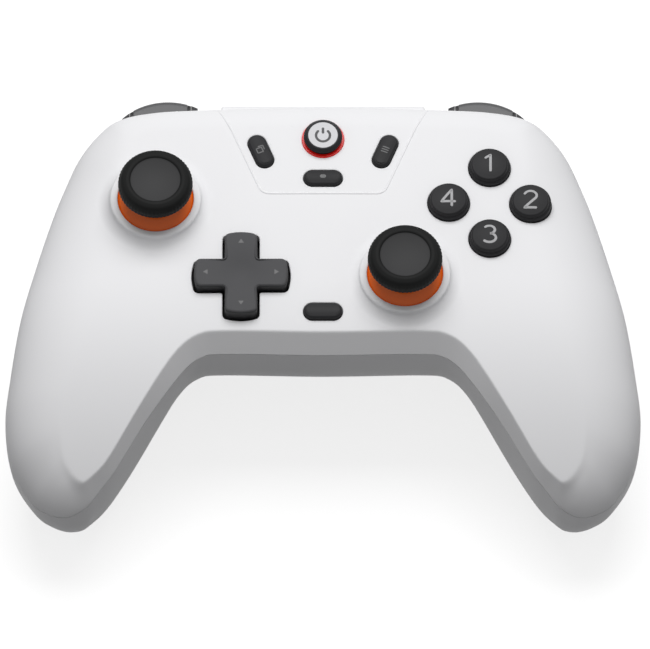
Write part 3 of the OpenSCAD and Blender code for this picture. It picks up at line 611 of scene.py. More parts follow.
def carve(mesh: bpy.types.Mesh, cutter: Shape) -> bpy.types.Mesh:
    """Takes a set of closed cutters out of a closed mesh.

    Args:
        mesh: The mesh to cut.
        cutter: The cutters, in millimetres.

    Returns:
        The cut mesh.
    """
    scene = bpy.context.scene.collection.objects
    work, tool = bpy.data.objects.new("work", mesh), bpy.data.objects.new("tool", cutter.mesh("tool"))
    scene.link(work)
    scene.link(tool)
    step = work.modifiers.new("carve", "BOOLEAN")
    step.operation, step.solver, step.object = "DIFFERENCE", "EXACT", tool
    seen = work.evaluated_get(bpy.context.evaluated_depsgraph_get())
    made = bpy.data.meshes.new_from_object(seen)
    made.name = mesh.name + "_cut"
    for thing in (work, tool):
        bpy.data.objects.remove(thing)
    return made


def joined(first: bpy.types.Mesh, second: bpy.types.Mesh) -> bpy.types.Mesh:
    """One mesh that holds two.

    Args:
        first: Mesh that is added to.
        second: Mesh that is added.

    Returns:
        The first mesh.
    """
    both = bmesh.new()
    both.from_mesh(first)
    both.from_mesh(second)
    both.to_mesh(first)
    both.free()
    return first


@dataclass(frozen=True)
class Casing:
    """Outer skins of both shells as height fields over the plan.

    The rim is a smooth curve through rows of x, y, fall from the face to the parting line, width of
    the edge, share of sloped band in it, and width and exponent of the tuck underneath. Over the
    distance d to the rim the top falls by a quarter ellipse or a band with a soft crease, and the
    underside tucks in by a superellipse.
    """

    face_z: float = 45.0
    crown: float = 0.0004
    droop: float = 0.0055
    belly_z: float = 14.0
    gap: float = 0.2
    wall: float = 2.0
    crease: float = 0.02
    spans: int = 24
    fade: float = 8.0
    rows: tuple[tuple[float, ...], ...] = (
        (0, 49.3, 3.5, 7, 0, 13, 2.3), (30, 48.8, 3.5, 7, 0, 13, 2.3), (42, 48.2, 3.6, 7, 0, 13, 2.3),
        (50, 46.7, 4.4, 8, 0, 13.5, 2.2), (55, 43.6, 6.3, 10.5, 0, 15, 2.1), (59.7, 37.8, 8, 14, 0, 16.5, 2),
        (63.4, 29.8, 9.5, 17, 0, 18, 2), (66.5, 21.4, 10.4, 18, 0, 18, 2), (70.4, 8.3, 11, 18, 0, 18, 2),
        (73.8, -5, 11.2, 18, 0, 18, 2), (76.3, -20, 11.6, 17, 0, 17, 2), (77.5, -31, 11.6, 16, 0, 16, 2),
        (76, -41.4, 10.4, 14, 0, 14, 2), (71.4, -49.4, 8.8, 13, 0, 13, 2), (67.5, -52.6, 7.6, 12, 0, 12, 2.1),
        (62.6, -54, 6.6, 9, 0.1, 11, 2.3), (57.8, -52.8, 5, 4, 0.7, 10, 2.6),
        (54.6, -49.9, 3.9, 2.4, 1, 9.5, 2.7), (50.5, -45.2, 3.7, 2, 1, 10, 2.6),
        (43.4, -34.6, 4.1, 2.2, 1, 12.5, 2.45), (37.3, -26.3, 4.4, 2.8, 1, 14, 2.3),
        (33.3, -21.5, 4.5, 3.2, 1, 14, 2.15), (29.5, -18.9, 4.5, 3.6, 1, 14, 2.05),
        (24, -18.2, 4.5, 3.7, 1, 14, 2.05), (0, -18.6, 4.5, 3.7, 1, 14, 2.05))

    @property
    def rim(self) -> Array:
        """Rim of the right half.

        Returns:
            Rows of values along the rim, shape (n, 7).
        """
        rows = np.array(self.rows, float)
        other = np.array([-1, 1, 1, 1, 1, 1, 1], float)
        return spline(rows, rows[1] * other, rows[-2] * other, self.spans)

    def hit(self, x: Array, y: Array) -> tuple[Array, Array]:
        """Nearest place on the rim.

        Args:
            x: Places along X.
            y: Places along Y.

        Returns:
            Distances with the shape of x, and the rim's values there with a last axis of 7, which pass into
            a weighted mean away from the rim.
        """
        rim = self.rim
        at = np.stack([np.abs(x).ravel(), y.ravel()], axis=-1)
        groups = np.array_split(at, max(1, len(at) // 2000))
        near = np.concatenate([np.argmin(((part[:, None] - rim[None, :, :2]) ** 2).sum(-1), axis=1)
                               for part in groups])
        run = np.linalg.norm(np.gradient(rim[:, :2], axis=0), axis=1)
        mean = np.concatenate([self._mean(part, rim, run) for part in groups])
        best, row = np.full(len(at), np.inf), np.zeros((len(at), rim.shape[1]))
        for k in (near - 1, near):
            k = np.clip(k, 0, len(rim) - 2)
            a, b = rim[k], rim[k + 1]
            side = (b - a)[:, :2]
            t = np.clip(((at - a[:, :2]) * side).sum(1) / (side**2).sum(1), 0, 1)[:, None]
            here = a + (b - a) * t
            d = np.linalg.norm(at - here[:, :2], axis=1)
            row = np.where((d < best)[:, None], here, row)
            best = np.minimum(best, d)
        row = row + (mean - row) * smooth(3, 7, best)[:, None]
        return best.reshape(x.shape), row.reshape(x.shape + (rim.shape[1],))

    def _mean(self, at: Array, rim: Array, run: Array) -> Array:
        """Mean of the rim's values, each weighted by its run and by the eighth power of its nearness.

        Args:
            at: Places, shape (n, 2).
            rim: Rows of values along the rim.
            run: Length of rim that each row stands for.

        Returns:
            One row of values for each place.
        """
        d = np.maximum(np.linalg.norm(at[:, None] - rim[None, :, :2], axis=-1), 1)
        weight = run * (d / d.min(axis=1, keepdims=True)) ** -self.fade
        return weight @ rim / weight.sum(axis=1, keepdims=True)

    def face(self, x: Array, y: Array) -> Array:
        """Height of the plain face: a parabola across and another along the grips.

        Args:
            x: Places along X.
            y: Places along Y.

        Returns:
            Heights.
        """
        return self.face_z - self.crown * x**2 - self.droop * np.maximum(0, -y) ** 2

    def belly(self, x: Array, y: Array) -> Array:
        """Height of the plain underside: a flat, a battery hump, and parabolas along the grips.

        Args:
            x: Places along X.
            y: Places along Y.

        Returns:
            Heights.
        """
        grip = self.belly_z * ((np.minimum(y, 0) + 33) / 33) ** 2
        hump = (1 - smooth(24, 34, np.abs(x))) * smooth(-8, 4, y) * (1 - smooth(26, 38, y))
        share = smooth(28, 48, np.abs(x))
        return (1 - share) * self.belly_z * (1 - hump) + share * grip

    def top(self, x: Array, y: Array) -> Array:
        """Height of the front shell's outside.

        Args:
            x: Places along X.
            y: Places along Y.

        Returns:
            Heights.
        """
        d, row = self.hit(x, y)
        s = 1 - d / row[..., 3]
        q = np.clip(s, 0, 1)
        roll = 1 - np.sqrt(1 - q * q)
        band = (s + np.sqrt(s * s + self.crease**2)) / (1 + math.sqrt(1 + self.crease**2))
        share = np.clip(row[..., 4], 0, 1)
        return self.face(x, y) - row[..., 2] * ((1 - share) * roll + share * band)

    def under(self, x: Array, y: Array) -> Array:
        """Height of the back shell's outside.

        Args:
            x: Places along X.
            y: Places along Y.

        Returns:
            Heights.
        """
        d, row = self.hit(x, y)
        q, n = 1 - np.clip(d / row[..., 5], 0, 1), row[..., 6]
        tuck = 1 - (1 - np.clip(q, 0, 1) ** n) ** (1 / n)
        belly = self.belly(x, y)
        rim_z = self.face(row[..., 0], row[..., 1]) - row[..., 2] - self.gap
        return belly + (rim_z - belly) * tuck

    def plan(self, stations: int, steps: int) -> tuple[Array, Array]:
        """Grid over the plan: stations spaced by a sine across, steps by a cosine from front to back.

        Args:
            stations: Number of stations, with a point at each end.
            steps: Number of steps from the front edge to the back edge.

        Returns:
            x and y of the grid, shape (stations + 1, steps + 1).
        """
        rim = self.rim
        wide = int(np.argmax(rim[:, 0]))
        x = rim[wide, 0] * np.sin(np.linspace(-math.pi / 2, math.pi / 2, stations + 1))
        back = np.interp(np.abs(x), rim[: wide + 1, 0], rim[: wide + 1, 1])
        front = np.interp(np.abs(x), rim[wide:, 0][::-1], rim[wide:, 1][::-1])
        f = (1 - np.cos(np.linspace(0, math.pi, steps + 1))) / 2
        return np.repeat(x[:, None], steps + 1, axis=1), front[:, None] + (back - front)[:, None] * f[None]

    def shell(self, height: Height, up: int, stations: int, steps: int) -> Shape:
        """Closed wall under or over a skin: the skin, the skin moved in along its normals, and the rim.

        Args:
            height: Height of the skin.
            up: 1 for the front shell, -1 for the back shell.
            stations: Stations across.
            steps: Steps from front to back, a multiple of four, of which the inside keeps every fourth.

        Returns:
            The shape.
        """
        x, y = self.plan(stations, steps)
        outer = np.stack([x, y, height(x, y)], axis=-1)
        gx, gy = np.gradient(outer, axis=0), np.gradient(outer, axis=1)
        inner = outer - self.wall * up * unit(np.cross(gx, gy) + 1e-12)
        half = steps // 2
        edge = np.where(np.arange(steps + 1)[None] < half, outer[:, :1, 2], outer[:, -1:, 2])
        inner[..., 2] = np.maximum(inner[..., 2], edge) if up > 0 else np.minimum(inner[..., 2], edge)
        flat = unit(np.gradient(outer[..., :2], axis=0))
        for j, turn in ((0, 1.0), (-1, -1.0)):
            out = turn * np.stack([flat[:, j, 1], -flat[:, j, 0]], axis=-1)
            inner[:, j, :2] = outer[:, j, :2] - 1.2 * self.wall * out
            inner[:, j, 2] = outer[:, j, 2]
        for i, side in ((0, -1.0), (-1, 1.0)):
            inner[i] = outer[i] - np.array([side * self.wall, 0, 0])
        made = Shape().sheet(outer, flip=up < 0).sheet(inner[:, ::4], flip=up > 0)
        made.sheet(np.stack([outer[:, 0], inner[:, 0]]), flip=up < 0)
        return made.sheet(np.stack([outer[:, -1], inner[:, -1]]), flip=up > 0)

    def lip(self, outline: Array, fillet: float = 0.4, depth: float = 2.1, up: int = 1) -> Array:
        """Rounded edge of an opening: a quarter circle from the skin into the opening, then a straight wall.

        Args:
            outline: Outline of the opening.
            fillet: Radius of the edge.
            depth: Depth of the wall.
            up: 1 on the front shell, -1 on the back shell.

        Returns:
            Grid of points.
        """
        a = np.linspace(0, math.pi / 2, 7)
        offset = np.concatenate([[fillet + 0.35], fillet * (1 - np.sin(a)), [0]])
        fall = np.concatenate([[-0.012], fillet * (1 - np.cos(a)), [depth]])
        grid = carried(outline, offset, np.zeros_like(offset))
        skin = self.top if up > 0 else self.under
        grid[..., 2] = skin(grid[..., 0], grid[..., 1]) - up * fall[:, None]
        return grid


@dataclass(frozen=True)
class Place:
    """Places of the controls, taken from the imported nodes."""

    shift: float

    @classmethod
    def read(cls) -> "Place":
        """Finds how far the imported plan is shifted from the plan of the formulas.

        Returns:
            The places.
        """
        _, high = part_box("front_shell")
        return cls(shift=high.y / MM - Casing.rows[0][1])

    @property
    def step(self) -> Matrix:
        """The shift as a matrix in metres.

        Returns:
            The matrix.
        """
        return Matrix.Translation((0, self.shift * MM, 0))

    def middle(self, node: str) -> tuple[float, float]:
        """Middle of a node in the plan of the formulas.

        Args:
            node: Name of a CAD node.

        Returns:
            x and y.
        """
        low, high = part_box(node)
        return (low.x + high.x) / 2 / MM, (low.y + high.y) / 2 / MM - self.shift

    def height(self, node: str) -> tuple[float, float]:
        """Lowest and highest point of a node.

        Args:
            node: Name of a CAD node.

        Returns:
            Two heights.
        """
        low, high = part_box(node)
        return low.z / MM, high.z / MM


@dataclass
class Part:
    """A sub-assembly: it is built as meshes and dressed with finishes."""

    casing: Casing
    place: Place

    def build(self) -> None:
        """Makes the pieces of this sub-assembly."""
        raise NotImplementedError

    def seat(self, shape: Shape, seat: Seat, finishes: Sequence[Finish]) -> bpy.types.Object:
        """Moves a shape from the plan of the formulas into the frame and seats it.

        Args:
            shape: Finished shape.
            seat: Where it belongs.
            finishes: Its finishes.

        Returns:
            The object.
        """
        return seat.take(shape.shifted(y=self.place.shift).mesh(seat.piece), finishes)


PILLS: dict[str, tuple[float, Symbol]] = {
    "view_button": (112.0, Symbol.SQUARES), "menu_button": (68.0, Symbol.LINES),
    "capture_button": (0.0, Symbol.DOT), "mode_button": (0.0, Symbol.NONE)}
PILL_RUN, PILL_R, BUTTON_GAP = 5.0, 2.2, 0.18
FACE_BUTTONS: dict[str, Symbol] = {"top": Symbol.ONE, "right": Symbol.TWO, "bottom": Symbol.THREE,
                                   "left": Symbol.FOUR}
FACE_BUTTON_R, HOME_RING_R = 5.05, 5.15
PIVOT_Z, DOME_R, DOME_GAP, COLLAR_TOP = 35.3, 14.0, 0.4, 46.7
SCREWS = ((58.0, 8.0), (62.0, -36.0))
BOARD_POSTS = ((26.0, 31.0), (47.0, -6.0))


def cross_outline(grow: float, count: int = 240) -> Array:
    """Outline of the direction pad: four arms with bowed ends and rounded corners.

    Args:
        grow: Distance by which the outline is widened.
        count: Number of points.

    Returns:
        Points about the origin, counter-clockwise.
    """
    a, e, b = 3.98 + grow, 10.9 + grow, 11.8 + grow
    arm = [(a, -a), (e, -a), (b, 0), (e, a)]
    corners = [(x * c - y * s, x * s + y * c) for c, s in ((1, 0), (0, 1), (-1, 0), (0, -1)) for x, y in arm]
    return resample(rounded(corners, [0.45, 1.3, 12, 1.3] * 4, steps=10), count)


@dataclass
class FrontShell(Part):
    """Front shell: the skin with its openings, rounded lips, stick collars and a beaded centre panel."""

    stations: int = 280
    steps: int = 180
    fillet: float = 0.2

    def openings(self) -> list[Array]:
        """Outlines of the openings for buttons and the direction pad.

        Returns:
            Closed outlines.
        """
        mid = self.place.middle
        made = [circle(mid("face_button_" + k), FACE_BUTTON_R + BUTTON_GAP, 128) for k in FACE_BUTTONS]
        made += [pill(mid(k), PILL_RUN, PILL_R + BUTTON_GAP, turn, 128) for k, (turn, _) in PILLS.items()]
        made.append(circle(mid("home_light_ring"), HOME_RING_R + 0.04, 128))
        made.append(cross_outline(0.55) + np.array(mid("dpad")))
        return made

    def bead(self) -> Array:
        """Low raised line round the centre panel: half an ellipse carried along the panel's edge on the skin.

        Returns:
            Grid of points, shape (n, m, 3).
        """
        right = [(25.6, 48.0), (22.35, 41.4), (14.9, 23.4)]
        corners = right + [(-x, y) for x, y in right[::-1]]
        path = resample(rounded(corners, [1, 30, 2.8, 2.8, 30, 1], closed=False, steps=12), 260, closed=False)
        a = np.linspace(0, math.pi, 9)
        flat = path[:, None] + (0.3 * np.cos(a))[None, :, None] * outward(path, closed=False)[:, None]
        z = self.casing.top(flat[..., 0], flat[..., 1]) - 0.02 + 0.16 * np.sin(a)[None]
        return np.concatenate([flat, z[..., None]], axis=-1)

    def collar(self, node: str) -> Array:
        """Raised collar of a stick: flank, rounded rim, inner slope and a ball-shaped wall round the dome.

        Args:
            node: Name of the stick's cap.

        Returns:
            Grid of points.
        """
        a, b = np.radians(np.linspace(90, 0, 14)), np.radians(np.linspace(0, 90, 8))
        ball, edge, inner = DOME_R + DOME_GAP, 0.6, 0.35
        theta = np.radians(np.linspace(40.6, 63, 8))
        r = np.concatenate([[14.8, 14.3], 11.2 + 2.9 * (1 - np.cos(a)), 11.2 - edge + edge * np.cos(b[1:]),
                            9.3 + inner * (1 - np.sin(b)), ball * np.sin(theta)])
        share = np.concatenate([[0, 0], 1 - np.sin(a), np.ones(7 + 8 + 8)])
        crest = COLLAR_TOP - edge
        z = np.concatenate([[0, 0], np.full(14, crest), crest + edge * np.sin(b[1:]),
                            COLLAR_TOP - 0.1 - inner * (1 - np.cos(b)), PIVOT_Z + ball * np.cos(theta)])
        grid = turned(np.stack([r, z], axis=-1), self.place.middle(node), 144)
        face = self.casing.top(grid[..., 0], grid[..., 1])
        grid[..., 2] = (1 - share)[:, None] * (face + 0.012) + share[:, None] * z[:, None]
        return grid

    def build(self) -> None:
        """Makes the shell."""
        made = self.casing.shell(self.casing.top, 1, self.stations, self.steps)
        cutter, lips = Shape(), Shape()
        for outline in self.openings():
            cutter.prism(outline + self.fillet * outward(outline), 36, 50)
            lips.sheet(self.casing.lip(outline, self.fillet), wrap=True)
        for side in Side:
            node = "stick_cap_" + side.value
            cutter.prism(circle(self.place.middle(node), 13.2, 128), 30, 55)
            lips.sheet(self.collar(node), wrap=True, flip=True)
            for x, y in SCREWS:
                ring = circle((x, y), 3.2, 16)
                roof = float(self.casing.top(ring[:, 0], ring[:, 1]).min()) - 1.0
                post = np.array([(3, roof), (3, 24), (1.32, 24), (1.32, 32.4), (0, 32.4)])
                lips.sheet(turned(post, (side.sign * x, y), 48), wrap=True)
        lips.sheet(self.bead())
        shell = carve(made.mesh("front_shell_skin"), cutter)
        whole = joined(shell, lips.mesh("front_shell_lips"))
        whole.transform(self.place.step)
        Seat("front_shell_skin", "case", ("front_shell",), "shell_white").take(whole, [Look.SHELL])


@dataclass
class BackShell(Part):
    """Back shell: the tucked underside with its shoulder openings, screw wells and posts."""

    stations: int = 240
    steps: int = 120

    def well(self, x: float, y: float) -> Array:
        """Wall of a screw well and of the post round it.

        Args:
            x: Place along X.
            y: Place along Y.

        Returns:
            Grid of points.
        """
        lip = self.casing.lip(circle((x, y), 2.6, 64), 0.3, 1.5, up=-1)
        floor = float(lip[..., 2].max()) + 1.0
        post = turned(np.array([(2.6, floor), (2.6, 21.5), (1.5, 21.5), (1.5, 23.8), (4, 23.8), (4, floor)]),
                      (x, y), 64)
        return np.concatenate([lip, post])

    def build(self) -> None:
        """Makes the shell."""
        made = self.casing.shell(self.casing.under, -1, self.stations, self.steps)
        cutter, extra = Shape(), Shape()
        for s in (-1, 1):
            near = sorted((s * 30.4, s * 49.7))
            space = np.array([(35.2, 17.5), (41.6, 17.5), (41.6, 4), (80, 4), (80, 60), (35.2, 60)])
            cutter.bar(space, *near)
            for x, y in SCREWS:
                cutter.prism(circle((s * x, y), 2.9, 64), -5, 20)
                extra.sheet(self.well(s * x, y), wrap=True)
            for x, y in BOARD_POSTS:
                edge = np.array([(2.6, 0), (2.6, 28.2), (1.02, 28.2), (1.02, 21.2), (0, 21.2)])
                post = turned(edge, (s * x, y), 48)
                post[0, :, 2] = self.casing.under(post[0, :, 0], post[0, :, 1]) + 1.0
                extra.sheet(post, wrap=True, flip=True)
        cutter.prism(np.array([(-25.2, 43), (25.2, 43), (25.2, 82), (-25.2, 82)]), 27.95, 61)
        shell = joined(carve(made.mesh("back_shell_skin"), cutter), extra.mesh("back_shell_posts"))
        shell.transform(self.place.step)
        Seat("back_shell_skin", "case", ("back_shell",), "shell_white").take(shell, [Look.SHELL])


@dataclass
class Bridge(Part):
    """Rear bridge between the shoulders, with the slot of the charging port."""

    def build(self) -> None:
        """Makes the bridge: a rounded profile carried along X, drawn in at both ends."""
        half, back, y, low, high, thick = 24.9, 43.4, 50.9, 28.0, 41.1, 2.0
        outside = [(back, high - 1.6), (back + 4, high), (y, high), (y, 32), (y - 2.4, low), (back, low)]
        inside = [(back, high - 1.6 - thick), (back + 4, high - thick), (y - thick, high - thick),
                  (y - thick, 32), (y - 3.4, low + 1.6), (back, low + 1.6)]
        outer = resample(rounded(outside, [1, 3, 1.6, 3, 1.2, 1], closed=False), 72, closed=False)
        inner = resample(rounded(inside, [1, 2, 0.6, 2, 0.6, 1], closed=False), 72, closed=False)
        made = Shape().sheet(channel(outer, inner, -half, half, 0.5), wrap=True)
        for x, flip in ((-half, False), (half, True)):
            made.sheet(cap(outer, inner, x, 0.5), flip=flip)
        slot = resample(rounded([(-4.62, -1.78), (4.62, -1.78), (4.62, 1.78), (-4.62, 1.78)], [1.4] * 4), 64)
        usb_z = 31.43
        cutter = Shape().prism(slot, -60, -40)
        cutter.points = [np.stack([p[:, 0], -p[:, 2], p[:, 1] + usb_z], axis=-1) for p in cutter.points]
        shell = carve(made.mesh("top_bridge_skin"), cutter)
        shell.transform(self.place.step)
        Seat("top_bridge_skin", "case", ("top_bridge",), "shell_white").take(shell, [Look.SHELL])


def channel(outer: Array, inner: Array, start: float, stop: float, fillet: float,
            bow: Optional[Callable[[Array], Array]] = None) -> Array:
    """Open channel along X: an outer and an inner path in (y, z), carried from one x to another.

    The outer path is drawn in at both ends by a quarter circle.

    Args:
        outer: Outer path, shape (n, 2).
        inner: Inner path of as many points, run the same way.
        start: First x.
        stop: Last x.
        fillet: Radius at the ends.
        bow: Step along Y that goes with x, for channels that bend.

    Returns:
        Grid of points, shape (stations, 2n, 3), whose columns close.
    """
    b = np.radians(np.linspace(90, 0, 6))
    middle = np.linspace(start + fillet, stop - fillet, 60)[1:-1]
    x = np.concatenate([start + fillet * (1 - np.sin(b)), middle, stop - fillet * (1 - np.sin(b[::-1]))])
    draw = np.concatenate([fillet * (1 - np.cos(b)), np.zeros(58), fillet * (1 - np.cos(b[::-1]))])
    inset = -outward(outer, closed=False)
    inset *= np.sign(((inner.mean(0) - outer.mean(0)) * inset).sum(1).mean())
    ring = np.concatenate([outer[None] + draw[:, None, None] * inset[None],
                           np.repeat(inner[None, ::-1], len(x), axis=0)], axis=1)
    tall = np.concatenate([np.repeat(x[:, None, None], ring.shape[1], axis=1), ring], axis=-1)
    if bow is not None:
        tall[..., 1] = bow(tall)
    return tall


def cap(outer: Array, inner: Array, x: float, fillet: float,
        bow: Optional[Callable[[Array], Array]] = None) -> Array:
    """End face of a channel.

    Args:
        outer: Outer path of the channel.
        inner: Inner path of the channel.
        x: Place of the end.
        fillet: Radius at the ends.
        bow: The channel's own bend.

    Returns:
        Grid of points, shape (2, n, 3).
    """
    rows = channel(outer, inner, x - 2 * fillet, x, fillet, bow)[-1]
    n = len(outer)
    return np.stack([rows[:n], rows[n:][::-1]])


@dataclass
class Shoulder(Part):
    """One shoulder: bumper and trigger."""

    side: Side = Side.RIGHT
    turret: tuple[float, float, float] = (38.0, 37.1, 16.0)
    bumper_x: tuple[float, float] = (33.05, 46.65)
    arms_x: tuple[float, float] = (32.65, 44.65)
    bumper_z: tuple[float, float] = (30.6, 39.4)
    rear: float = 45.0
    # Width of each black end band, painted shade in the gap to the bracket.
    flange: float = 0.68
    inset: float = 0.1
    pin: tuple[float, float] = (41.2, 27.5)
    trigger_x: float = 40.05
    trigger_half: float = 9.1
    trigger_middle: tuple[float, float] = (49.6, 18.0)
    trigger_points: tuple[tuple[float, float], ...] = (
        (45.2, 28.4), (50, 28.4), (52.8, 27), (53.4, 22), (52.9, 17), (53.6, 12.5), (56, 8.8), (55, 7.4),
        (52, 8), (48.5, 12), (46.2, 18), (45.2, 24))

    def bumper(self) -> Shape:
        """Bumper: a channel in (depth behind the round front, z), bent along the turret's circle.

        Returns:
            The shape.
        """
        low, high = self.bumper_z
        cx, cy, radius = self.turret
        outer = resample(rounded([(-8.1, high), (0, high), (0, low), (-1.6, low)], [1, 1.5, 0.9, 0.3],
                                 closed=False), 60, closed=False)
        inner = resample(rounded([(-8.1, high - 2), (-2.2, high - 2), (-2.2, low + 0.4), (-1.9, low)],
                                 [1, 0.8, 0.2, 0.1], closed=False), 60, closed=False)

        def bend(grid: Array) -> Array:
            """Depth turned into y: the round front less the depth, never ahead of the rear line."""
            front = cy + np.sqrt(radius**2 - (grid[..., 0] - cx) ** 2)
            share = np.clip(-grid[..., 1] / 8.1, 0, 1)
            back = front + (self.rear - front) * (share - 0.3) / 0.7 - 2.43 * (1 - share) / 0.7
            return np.where(share < 0.3, front + grid[..., 1], back)

        made = Shape().sheet(channel(outer, inner, *self.bumper_x, 0.35, bend), wrap=True)
        for x, flip in ((self.bumper_x[0], False), (self.bumper_x[1], True)):
            made.sheet(cap(outer, inner, x, 0.35, bend), flip=flip)
        inwards = np.sign(inner.mean(0) - outer.mean(0))
        core = outer + self.inset * inwards * np.abs(outward(outer, closed=False))
        # The end bands reach out into the gaps to the bracket and take the black finish: painted shade in
        # those gaps.
        for x, step in ((self.bumper_x[0], -self.flange), (self.bumper_x[1], self.flange)):
            ends = channel(core, inner, min(x, x + step), max(x, x + step), 0.05, bend)
            made.sheet(ends, wrap=True, finish=1)
            made.sheet(cap(core, inner, x + step, 0.05, bend), finish=1)
        corners = ((38.5, 34.6), (46.2, 34.6), (46.2, 37.4), (40.4, 38.1), (38.5, 38.1))
        radii = (1.9, 0.3, 0.3, 1, 1.85)
        for x in self.arms_x:
            made.sheet(self.arm(x, x + 2.4, corners, radii, (40.4, 36.2), 0.95), wrap=True)
        return made

    @staticmethod
    def arm(start: float, stop: float, corners: Sequence[Sequence[float]], radii: Sequence[float],
            pin: Sequence[float], bore: float) -> Array:
        """Flat arm with a bore: rays from the pin meet a rounded outline, carried along X and back.

        Args:
            start: First x.
            stop: Last x.
            corners: Corners of the outline in (y, z).
            radii: Radii of those corners.
            pin: Middle of the bore.
            bore: Radius of the bore.

        Returns:
            Grid of points whose columns close.
        """
        ring = resample(rounded(corners, radii), 120)
        hole = np.asarray(pin) + bore * unit(ring - np.asarray(pin))
        flat = np.stack([hole, ring, ring, hole, hole])
        x = np.array([start, start, stop, stop, start])[:, None, None]
        return np.concatenate([np.repeat(x, ring.shape[0], axis=1), flat], axis=-1)

    def trigger(self) -> Shape:
        """Trigger: a closed side profile carried along X, drawn in at both ends, and two lugs.

        Returns:
            The shape.
        """
        points = np.array(self.trigger_points)
        ring = spline(np.concatenate([points, points[:1]]), points[-1], points[1], 10)[:-1]
        s = np.sin(np.linspace(-math.pi / 2, math.pi / 2, 81))
        draw = 1 - 0.13 * (1 - np.sqrt(1 - np.clip((np.abs(s) - 0.7) / 0.3, 0, 1) ** 2))
        s, draw = np.concatenate([s[:1], s, s[-1:]]), np.concatenate([[0], draw, [0]])
        middle = np.array(self.trigger_middle)
        flat = middle + (ring - middle)[None] * draw[:, None, None]
        flat[..., 0] -= 1.1 * (s**2)[:, None]
        x = self.trigger_x + s[:, None, None] * self.trigger_half
        made = Shape().sheet(np.concatenate([np.repeat(x, len(ring), axis=1), flat], axis=-1), wrap=True)
        corners = ((38.5, 24.8), (41.6, 24.8), (45.4, 21.2), (48, 20), (47.5, 28), (42, 30.2), (38.5, 30.2))
        radii = (2.6, 0.6, 0.3, 0.3, 0.3, 0.9, 2.6)
        for x0, x1 in ((32.7, 37.0), (43.2, 47.0)):
            made.sheet(self.arm(x0, x1, corners, radii, self.pin, 1.3), wrap=True)
        return made

    def build(self) -> None:
        """Makes the bumper and the trigger of this side."""
        for name, shape in (("bumper", self.bumper()), ("trigger", self.trigger())):
            node = f"{name}_{self.side.value}"
            seat = Seat(node + "_skin", node, (node,), "control_dark")
            self.seat(shape.mirrored(self.side), seat, [Look.SHOULDER_PAINTED_LIGHT, Look.BLACK_AND_PAINTED_SHADE])


@dataclass
class Thumbstick(Part):
    """One thumbstick: rubber cap with a ribbed edge and a hollow disc, over a glossy dome."""

    side: Side = Side.RIGHT
    cap_r: float = 9.12
    top: float = 20.6
    under: float = 16.2
    disc_r: float = 6.1
    ribs: int = 60

    def cap(self) -> Shape:
        """Cap: a rounded profile turned about the stick's axis, its flank waved by fine ribs.

        Returns:
            The shape, with the disc as its second finish.
        """
        r, t, u = self.cap_r, self.top + PIVOT_Z, self.under + PIVOT_Z
        corners = [(0, u), (r - 0.7, u), (r, u + 0.9), (r, t - 1.9), (r - 0.8, t - 0.5), (7.0, t),
                   (self.disc_r + 0.25, t - 0.12), (self.disc_r, t - 0.34)]
        radii = [1, 0.5, 0.7, 1.2, 1.4, 1.2, 0.25, 1]
        edge = resample(rounded(corners, radii, closed=False), 90, closed=False)
        grid = turned(edge, self.place.middle("stick_cap_" + self.side.value), 360)
        angle = np.linspace(0, 2 * math.pi, 360, endpoint=False)
        flank = smooth(r - 0.9, r - 0.25, edge[:, 0]) * smooth(u + 0.1, u + 0.8, edge[:, 1])
        flank *= 1 - smooth(t - 1.9, t - 1.0, edge[:, 1])
        middle = np.array(self.place.middle("stick_cap_" + self.side.value))
        wave = 1 - 0.012 * flank[:, None] * (0.5 + 0.5 * np.cos(self.ribs * angle))[None]
        grid[..., :2] = middle + (grid[..., :2] - middle) * wave[..., None]
        s = np.linspace(1, 0, 16)
        dish = np.stack([self.disc_r * s, t - 0.34 - 0.95 * (1 - s**2)], axis=-1)
        return Shape().sheet(grid, wrap=True).sheet(turned(dish, middle, 360), wrap=True, finish=1)

    def dome(self) -> Shape:
        """Dome: a thick part of a ball, with a neck that carries the cap.

        Returns:
            The shape.
        """
        a = np.radians(np.linspace(14, 68, 40))
        outer = np.stack([DOME_R * np.sin(a), PIVOT_Z + DOME_R * np.cos(a)], axis=-1)
        inner = np.stack([(DOME_R - 1.2) * np.sin(a), PIVOT_Z + (DOME_R - 1.2) * np.cos(a)], axis=-1)[::-1]
        neck = np.array([(3.2, PIVOT_Z + self.under), (3.2, outer[0, 1] + 0.35), (3.3, outer[0, 1] + 0.05)])
        foot, roof = PIVOT_Z + 7.6, PIVOT_Z + 13.6
        hub = np.array([(3.2, inner[-1, 1]), (3.2, foot), (2.05, foot), (2.05, roof), (0, roof)])
        profile = np.concatenate([neck, outer, inner, hub])
        middle = self.place.middle("stick_dome_" + self.side.value)
        return Shape().sheet(turned(profile, middle, 144), wrap=True)

    def build(self) -> None:
        """Makes the cap and the dome."""
        s = self.side.value
        body = f"thumbstick_{s}"
        cap_seat = Seat(f"stick_cap_{s}_skin", body, (f"stick_cap_{s}",), "cap_rubber")
        dome_seat = Seat(f"stick_dome_{s}_skin", body, (f"stick_dome_{s}",), "dome_orange")
        self.seat(self.cap(), cap_seat, [Look.CAP, Look.DISC])
        self.seat(self.dome(), dome_seat, [Look.DOME])


